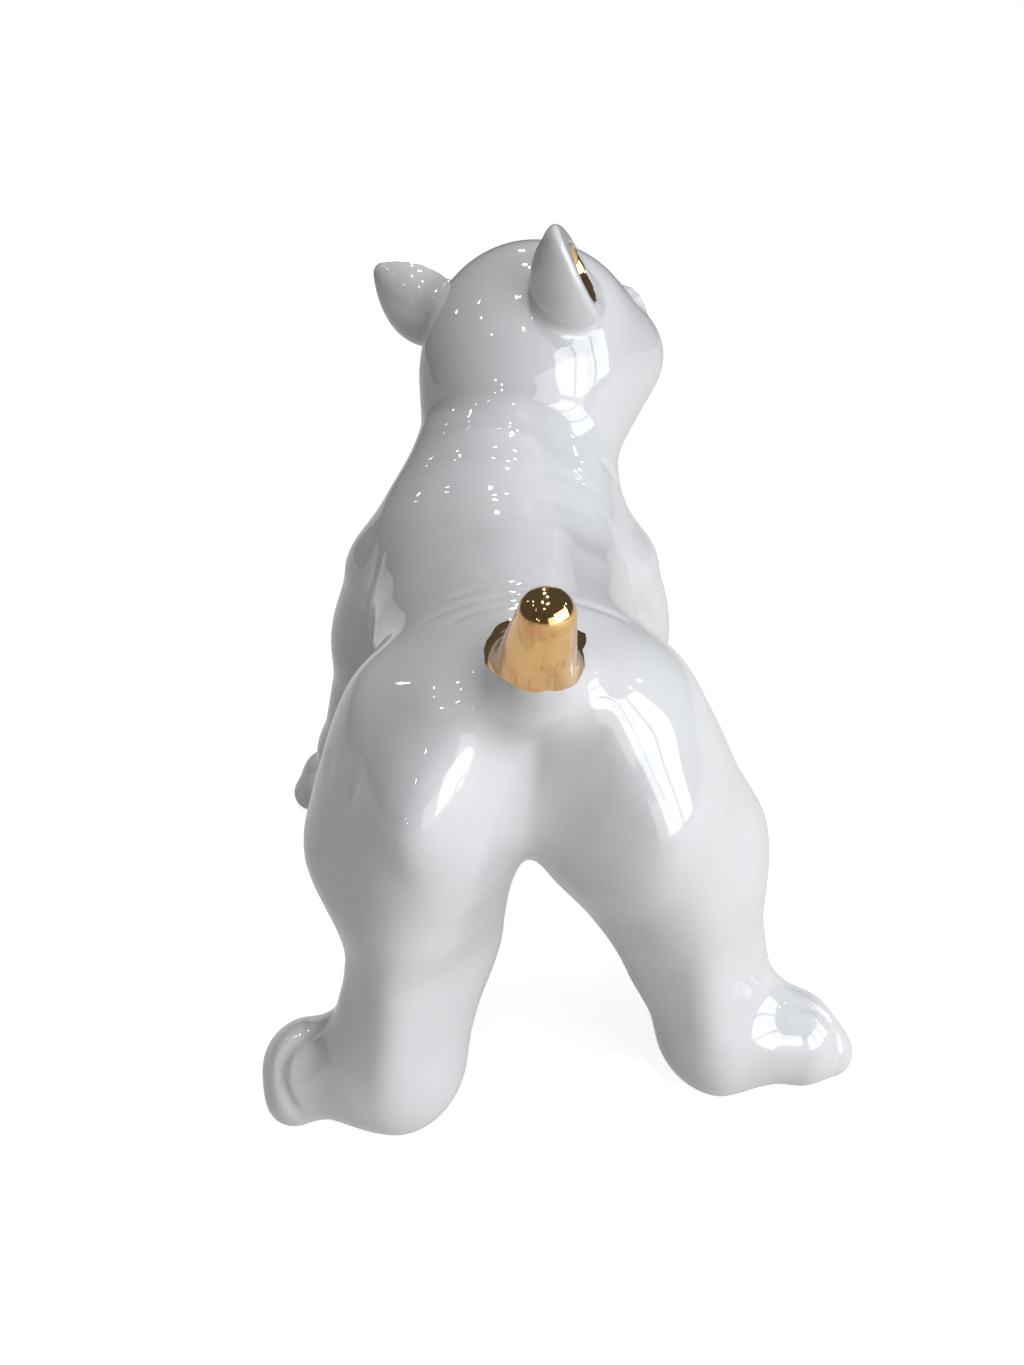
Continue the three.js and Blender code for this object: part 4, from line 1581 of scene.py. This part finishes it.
@dataclass
class Figurine:
    """The whole puppy, worked as one piece of clay and then parted at its seams."""

    workshop: Workshop
    cell: float = 1.35
    quick_cell: float = 2.4
    lowest: Point = (-108, -98, -9)
    highest: Point = (108, 158, 262)
    trunk: Trunk = field(default_factory=Trunk)
    neck: Neck = field(default_factory=Neck)
    head: Head = field(default_factory=Head)
    tail: Tail = field(default_factory=Tail)
    ears: dict[str, Ear] = field(default_factory=lambda: {
        "left": Ear(-1),
        "right": Ear(
            1, twist=42, tip=Limb((0, 1, 17), (0, -0.8, 25.3), 6.5, 3.6),
            face=Slab((0, 4.6, 0), (0, -1, -0.16), 60), hollow=Swelling((0, 5.5, 8.6), (9.8, 8.5, 9.6)),
        ),
    })
    hind: dict[str, HindLeg] = field(default_factory=lambda: {
        "left": HindLeg(
            -1, Swelling((-30, -33, 115), (25, 31, 38), (0, -14, 0)), (-38, -32, 89), 30,
            (-34, -49, 63), 22.5, (-48, -58, 23), 22.5, (-77, -53, 15.5), 15, 165, 5.5, 82,
            (
                Limb((-18, -50, 142), (-26, -62, 120), 15, 15.5),
                Limb((-26, -62, 120), (-37, -60, 84), 15.5, 12.5),
            ),
            Limb((-36, -60, 98), (-43, -70, 34), 11, 10),
            (Slab((-40, -76, 60), (-0.67, 0.74, 0), 110),),
            (
                Crease(((-64, -52, 37), (-69.7, -53.7, 35.1), (-77.8, -55.2, 30.6), (-82.3, -58.6, 28.3),
                        (-84.4, -63.1, 23.8), (-82.3, -67.5, 16.2), (-79, -70, 9)), 2.2, 1.7),
                Dent((-49, -56, 127), (3, 4, 8), 0.9),
                Dent((-57, -44, 127), (2.5, 4, 5), 0.6),
                Crease(((-62.6, -51.4, 99.2), (-60.4, -54.4, 97), (-58.2, -56.9, 95.1)), 1.2, 0.5),
                Dent((-48, -62, 52), (9, 6, 4), 0.9),
            ),
        ),
        "right": HindLeg(
            1, Swelling((28, -36, 113), (25, 32, 39), (0, 14, 0)), (43, -37, 81), 30,
            (49, -52, 55), 21, (59.5, -57.5, 23), 22.5, (82, -60, 15), 14.5, 28, 10.5, 78,
            (
                Limb((17, -50, 142), (27, -62, 111), 15, 15.5),
                Limb((27, -62, 111), (40, -61, 80), 15.5, 12.5),
            ),
            Limb((38, -60, 90), (57, -68, 38), 11, 10),
            (Slab((47, -76, 62), (0.52, 0.85, 0), 110), Slab((49, -76, 62), (-0.66, 0.75, -0.08), 110)),
            (
                Crease(((73, -58, 38), (78.3, -59.9, 36.6), (82.8, -61.3, 32), (89.3, -63, 27.5),
                        (93.5, -65.8, 21.6), (94.2, -69.3, 16.2), (91.4, -72.3, 8.2)), 1.9, 1.5),
                Dent((60, -62, 80), (8, 6, 9), -0.8),
            ),
        ),
    })
    fore: dict[str, Foreleg] = field(default_factory=lambda: {
        "left": Foreleg(-1, (-34, 69, 133), 23.5, (-42, 73, 107), 20.5, (-64, 90, 44)),
        "right": Foreleg(1, (39, 65, 131), 22, (43, 68, 109), 19.5, (64, 90, 44)),
    })

    def clay(self) -> Clay:
        """Works the whole puppy.

        Returns:
            The clay of the whole body, before it is cut along its seams.
        """
        body = Clay()
        self.trunk.model(body)
        for leg in self.hind.values():
            body.add(leg.thigh(), 8)
        self.trunk.part_thighs(body)
        for leg in self.hind.values():
            body.add(leg.form(), 12)
        for leg in self.fore.values():
            body.add(leg.form(), 8)
        self.neck.model(body)
        body.add(self.head.form(), 10)
        self.trunk.finish(body)
        self.neck.finish(body)
        pose = self.head.pose()
        for ear in self.ears.values():
            body.add(Clay(pose=pose).add(ear.form()), 4)
        body.add(self.tail.form(), 12)
        for leg in self.hind.values():
            body.press(*leg.marks)
        for leg in self.fore.values():
            body.press(*leg.toe_lines())
        return body

    def build(self, solid_box: tuple) -> None:
        """Finds the surface, parts it at the seams and makes the pieces.

        Args:
            solid_box: the two corners of the solids' box, in metres.
        """
        skin = skin_of(self.clay(), self.lowest, self.highest, self.cell)
        _, skin = skin.split(skin.points[:, 2] - SOLE_TRIM)
        log.info("skin: %d faces", len(skin.faces))
        self.workshop.stand_on(skin, *solid_box)
        self.gild_tail(skin)
        head, skin = skin.split(self.neck.seam().beyond(skin.points))
        pose = self.head.pose()
        for side, ear in self.ears.items():
            inside = pose.inward(head.points)
            gold, _ = head.split(ear.gilding(inside))
            self.workshop.piece(f"{side}_ear_lustre", gold.shell(0.12, 0.6), [self.workshop.lustre],
                                "gold_lustre", f"{side}_ear_lustre")
            part, head = head.split(ear.seam(pose).beyond(head.points))
            self.workshop.piece(f"{side}_ear", part, [self.workshop.glaze], "white_glaze", f"{side}_ear")
        self.workshop.piece("head", head, [self.workshop.glaze], "white_glaze", "head")
        tail, skin = skin.split(self.tail.seam().beyond(skin.points))
        self.workshop.piece("tail", tail, [self.workshop.glaze], "white_glaze", "tail")
        for side in ("left", "right"):
            for name, leg in ((f"{side}_hind_leg", self.hind[side]), (f"{side}_foreleg", self.fore[side])):
                part, skin = skin.split(leg.seam().beyond(skin.points))
                self.workshop.piece(name, part, [self.workshop.glaze, self.workshop.clay],
                                    "white_glaze", name, sole=True)
        self.workshop.piece("torso", skin, [self.workshop.glaze], "white_glaze", "torso")

    def gild_tail(self, skin: Skin) -> None:
        """Lays the gold film over the tail and its root.

        Args:
            skin: the surface of the whole body.
        """
        gold, _ = skin.split(self.tail.gilding(skin.points))
        self.workshop.piece("tail_lustre", gold.shell(0.1, 0.6), [self.workshop.lustre],
                            "gold_lustre", "tail")

    def build_face(self) -> None:
        """Makes the nose and the eyes."""
        pose = self.head.pose()
        for name, form, centre in (
            ("nose", self.head.snout(), self.head.nose_centre),
            ("left_eye", self.head.sight(-1), (-self.head.eye_centre[0], *self.head.eye_centre[1:])),
            ("right_eye", self.head.sight(1), self.head.eye_centre),
        ):
            middle = pose.outward(np.array([centre], float))[0]
            skin = skin_of(form, tuple(middle - 14), tuple(middle + 14), 0.7, 4)
            self.workshop.piece(name, skin, [self.workshop.lustre], "gold_lustre", name)


# Studio


@dataclass
class Studio:
    """Floor, backdrop, lamps and camera."""

    stand: Point = (0.0, 0.0, 0.0)
    eye: Point = (-19.0, -288.0, 290.0)
    heading: float = 3.6
    pitch: float = 30.0
    roll: float = 3.0
    focal_share: float = 1025.0 / 1365.0
    distance: float = 1.25
    window: tuple[float, float] = (127.0, 15.0)
    pane_size: tuple[float, float] = (0.42, 0.7)
    pane_pitch: float = 0.47
    pane_power: float = 3.7
    daylight: Point = (0.93, 0.96, 1.0)
    wall: tuple[float, float] = (152.0, 8.0)
    wall_size: tuple[float, float] = (1.2, 0.55)
    wall_power: float = 3.5
    spot_size: tuple[float, float] = (0.05, 0.05)
    spots: tuple[Point, ...] = (
        (-136, 74, 1.1), (40, 82, 1.8), (170, 68, 2.1), (0, 66, 1.8), (-60, 33, 0.1), (-78, 51, 0.2),
        (-98, 47, 0.1), (-125, 42, 0.1), (-166, 51, 0.3), (82, 28, 0.3), (98, 31, 0.3), (2, 42, 1.5),
        (-140, 14, 0.1), (-147, 9, 0.1),
    )
    room_colour: Point = (0.93, 0.95, 1.0)
    room_light: float = 0.05
    floor_half: float = 4.0
    floor_colour: Point = (0.53, 0.5, 0.46)
    floor_glow: tuple[float, float] = (0.84, 1.0)
    floor_glow_span: tuple[float, float] = (0.15, 0.6)
    floor_mirror_share: float = 0.4

    def camera(self) -> None:
        """Places the camera where the photograph was taken from."""
        turn, tip, roll = (math.radians(angle) for angle in (self.heading, self.pitch, self.roll))
        forward = Vector((math.sin(turn) * math.cos(tip), math.cos(turn) * math.cos(tip), -math.sin(tip)))
        level = Vector((math.cos(turn), -math.sin(turn), 0))
        over = level.cross(forward)
        right = level * math.cos(roll) - over * math.sin(roll)
        above = level * math.sin(roll) + over * math.cos(roll)
        data = bpy.data.cameras.new("camera")
        data.sensor_width = 36.0
        data.lens = 36.0 * self.focal_share
        data.clip_start = 0.01
        camera = bpy.data.objects.new("camera", data)
        place = (Vector(self.eye) + Vector(self.stand)) * METRES
        matrix = Matrix((right, above, -forward)).transposed().to_4x4()
        matrix.translation = place
        camera.matrix_world = matrix
        bpy.context.scene.collection.objects.link(camera)
        bpy.context.scene.camera = camera

    def lamp(self, name: str, azimuth: float, elevation: float, size: tuple[float, float], power: float,
             shape: str = "RECTANGLE", aside: float = 0.0, colour: Point = (1.0, 1.0, 1.0)) -> None:
        """Hangs an area lamp that faces the figurine.

        Args:
            name: the lamp's name.
            azimuth: where it hangs, in degrees clockwise from +Y seen from above.
            elevation: how high it hangs, in degrees.
            size: its width and height in metres.
            power: its power in watts.
            shape: the lamp's shape.
            aside: how far it is shifted along its width, in metres.
            colour: its colour.
        """
        data = bpy.data.lights.new(name, "AREA")
        data.shape = shape
        data.size, data.size_y = size
        data.energy = power
        data.color = colour
        lamp = bpy.data.objects.new(name, data)
        turn, rise = math.radians(azimuth), math.radians(elevation)
        towards = Vector((math.sin(turn) * math.cos(rise), math.cos(turn) * math.cos(rise), math.sin(rise)))
        aim = Vector((0, 0, 0.13))
        side = Vector((math.cos(turn), -math.sin(turn), 0))
        lamp.location = aim + towards * self.distance + side * aside
        lamp.rotation_euler = (aim + side * aside - lamp.location).to_track_quat("-Z", "Y").to_euler()
        bpy.context.scene.collection.objects.link(lamp)

    def lamps(self) -> None:
        """Hangs the three panes of the window, the pale wall behind the camera and the ceiling spots."""
        for name, aside in (("left", -self.pane_pitch), ("middle", 0.0), ("right", self.pane_pitch)):
            self.lamp(f"window_{name}_pane", *self.window, self.pane_size, self.pane_power, aside=aside,
                      colour=self.daylight)
        self.lamp("wall", *self.wall, self.wall_size, self.wall_power)
        for number, (azimuth, elevation, power) in enumerate(self.spots):
            self.lamp(f"spot_{number}", azimuth, elevation, self.spot_size, power, shape="DISK")

    def world(self) -> None:
        """Makes the room: soft grey light, and white where the camera looks past the figurine."""
        world = bpy.data.worlds.new("room")
        bpy.context.scene.world = world
        world.use_nodes = True
        kit = NodeKit(world.node_tree)
        nodes = world.node_tree.nodes
        room = nodes["Background"]
        room.inputs["Color"].default_value = (*self.room_colour, 1)
        room.inputs["Strength"].default_value = self.room_light
        white = kit.place("ShaderNodeBackground")
        white.inputs["Color"].default_value = (1, 1, 1, 1)
        white.inputs["Strength"].default_value = 1.0
        path = kit.place("ShaderNodeLightPath")
        shown = kit.math("MAXIMUM", path.outputs["Is Camera Ray"],
                         kit.math("MULTIPLY", path.outputs["Is Glossy Ray"], self.room_light))
        mixer = kit.place("ShaderNodeMixShader")
        kit.join(shown, mixer.inputs[0])
        kit.join(room.outputs[0], mixer.inputs[1])
        kit.join(white.outputs[0], mixer.inputs[2])
        kit.join(mixer.outputs[0], nodes["World Output"].inputs["Surface"])

    def floor(self) -> None:
        """Lays the pale floor, which the camera sees as white with the figurine's shadow."""
        mesh = bpy.data.meshes.new("floor")
        half = self.floor_half
        corners = [(-half, -half, 0), (half, -half, 0), (half, half, 0), (-half, half, 0)]
        mesh.from_pydata(corners, [], [(0, 1, 2, 3)])
        floor = bpy.data.objects.new("floor", mesh)
        bpy.context.scene.collection.objects.link(floor)
        material = bpy.data.materials.new("floor")
        material.use_nodes = True
        kit = NodeKit(material.node_tree)
        nodes = material.node_tree.nodes
        nodes.remove(nodes["Principled BSDF"])
        plain = kit.place("ShaderNodeBsdfDiffuse")
        plain.inputs["Color"].default_value = (*self.floor_colour, 1)
        glow = kit.place("ShaderNodeEmission")
        away = kit.place("ShaderNodeVectorMath", operation="LENGTH")
        kit.join(kit.place("ShaderNodeTexCoord").outputs["Object"], away.inputs[0])
        brighter = kit.spread(away.outputs["Value"], *self.floor_glow_span, *self.floor_glow)
        kit.join(brighter, glow.inputs["Strength"])
        both = kit.place("ShaderNodeAddShader")
        kit.join(plain.outputs[0], both.inputs[0])
        kit.join(glow.outputs[0], both.inputs[1])
        path = kit.place("ShaderNodeLightPath")
        mixer = kit.place("ShaderNodeMixShader")
        mirrored = kit.math("MULTIPLY", path.outputs["Is Glossy Ray"], self.floor_mirror_share)
        kit.join(kit.math("MAXIMUM", path.outputs["Is Camera Ray"], mirrored), mixer.inputs[0])
        kit.join(plain.outputs[0], mixer.inputs[1])
        kit.join(both.outputs[0], mixer.inputs[2])
        kit.join(mixer.outputs[0], nodes["Material Output"].inputs["Surface"])
        mesh.materials.append(material)
        floor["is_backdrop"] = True

    def build(self) -> None:
        """Sets the studio up."""
        self.camera()
        self.lamps()
        self.world()
        self.floor()
        bpy.context.scene.view_settings.view_transform = "Standard"
        log.info("studio ready")


def main() -> None:
    """Builds the figurine and its studio."""
    logging.basicConfig(level=logging.INFO, format="%(message)s")
    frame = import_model()
    solid_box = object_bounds()
    log.info("frame: %d nodes", len(frame["nodes"]))
    groups = {"ripple": glaze_ripple_group(), "tone": glaze_tone_group(), "brush": lustre_brush_group()}
    workshop = Workshop(
        WhiteGlaze(groups).material(), GoldLustre(groups).material(), BareClay(groups).material(),
    )
    figurine = Figurine(workshop)
    figurine.build(solid_box)
    figurine.build_face()
    Studio(workshop.stand).build()


if __name__ == "__main__":
    main()
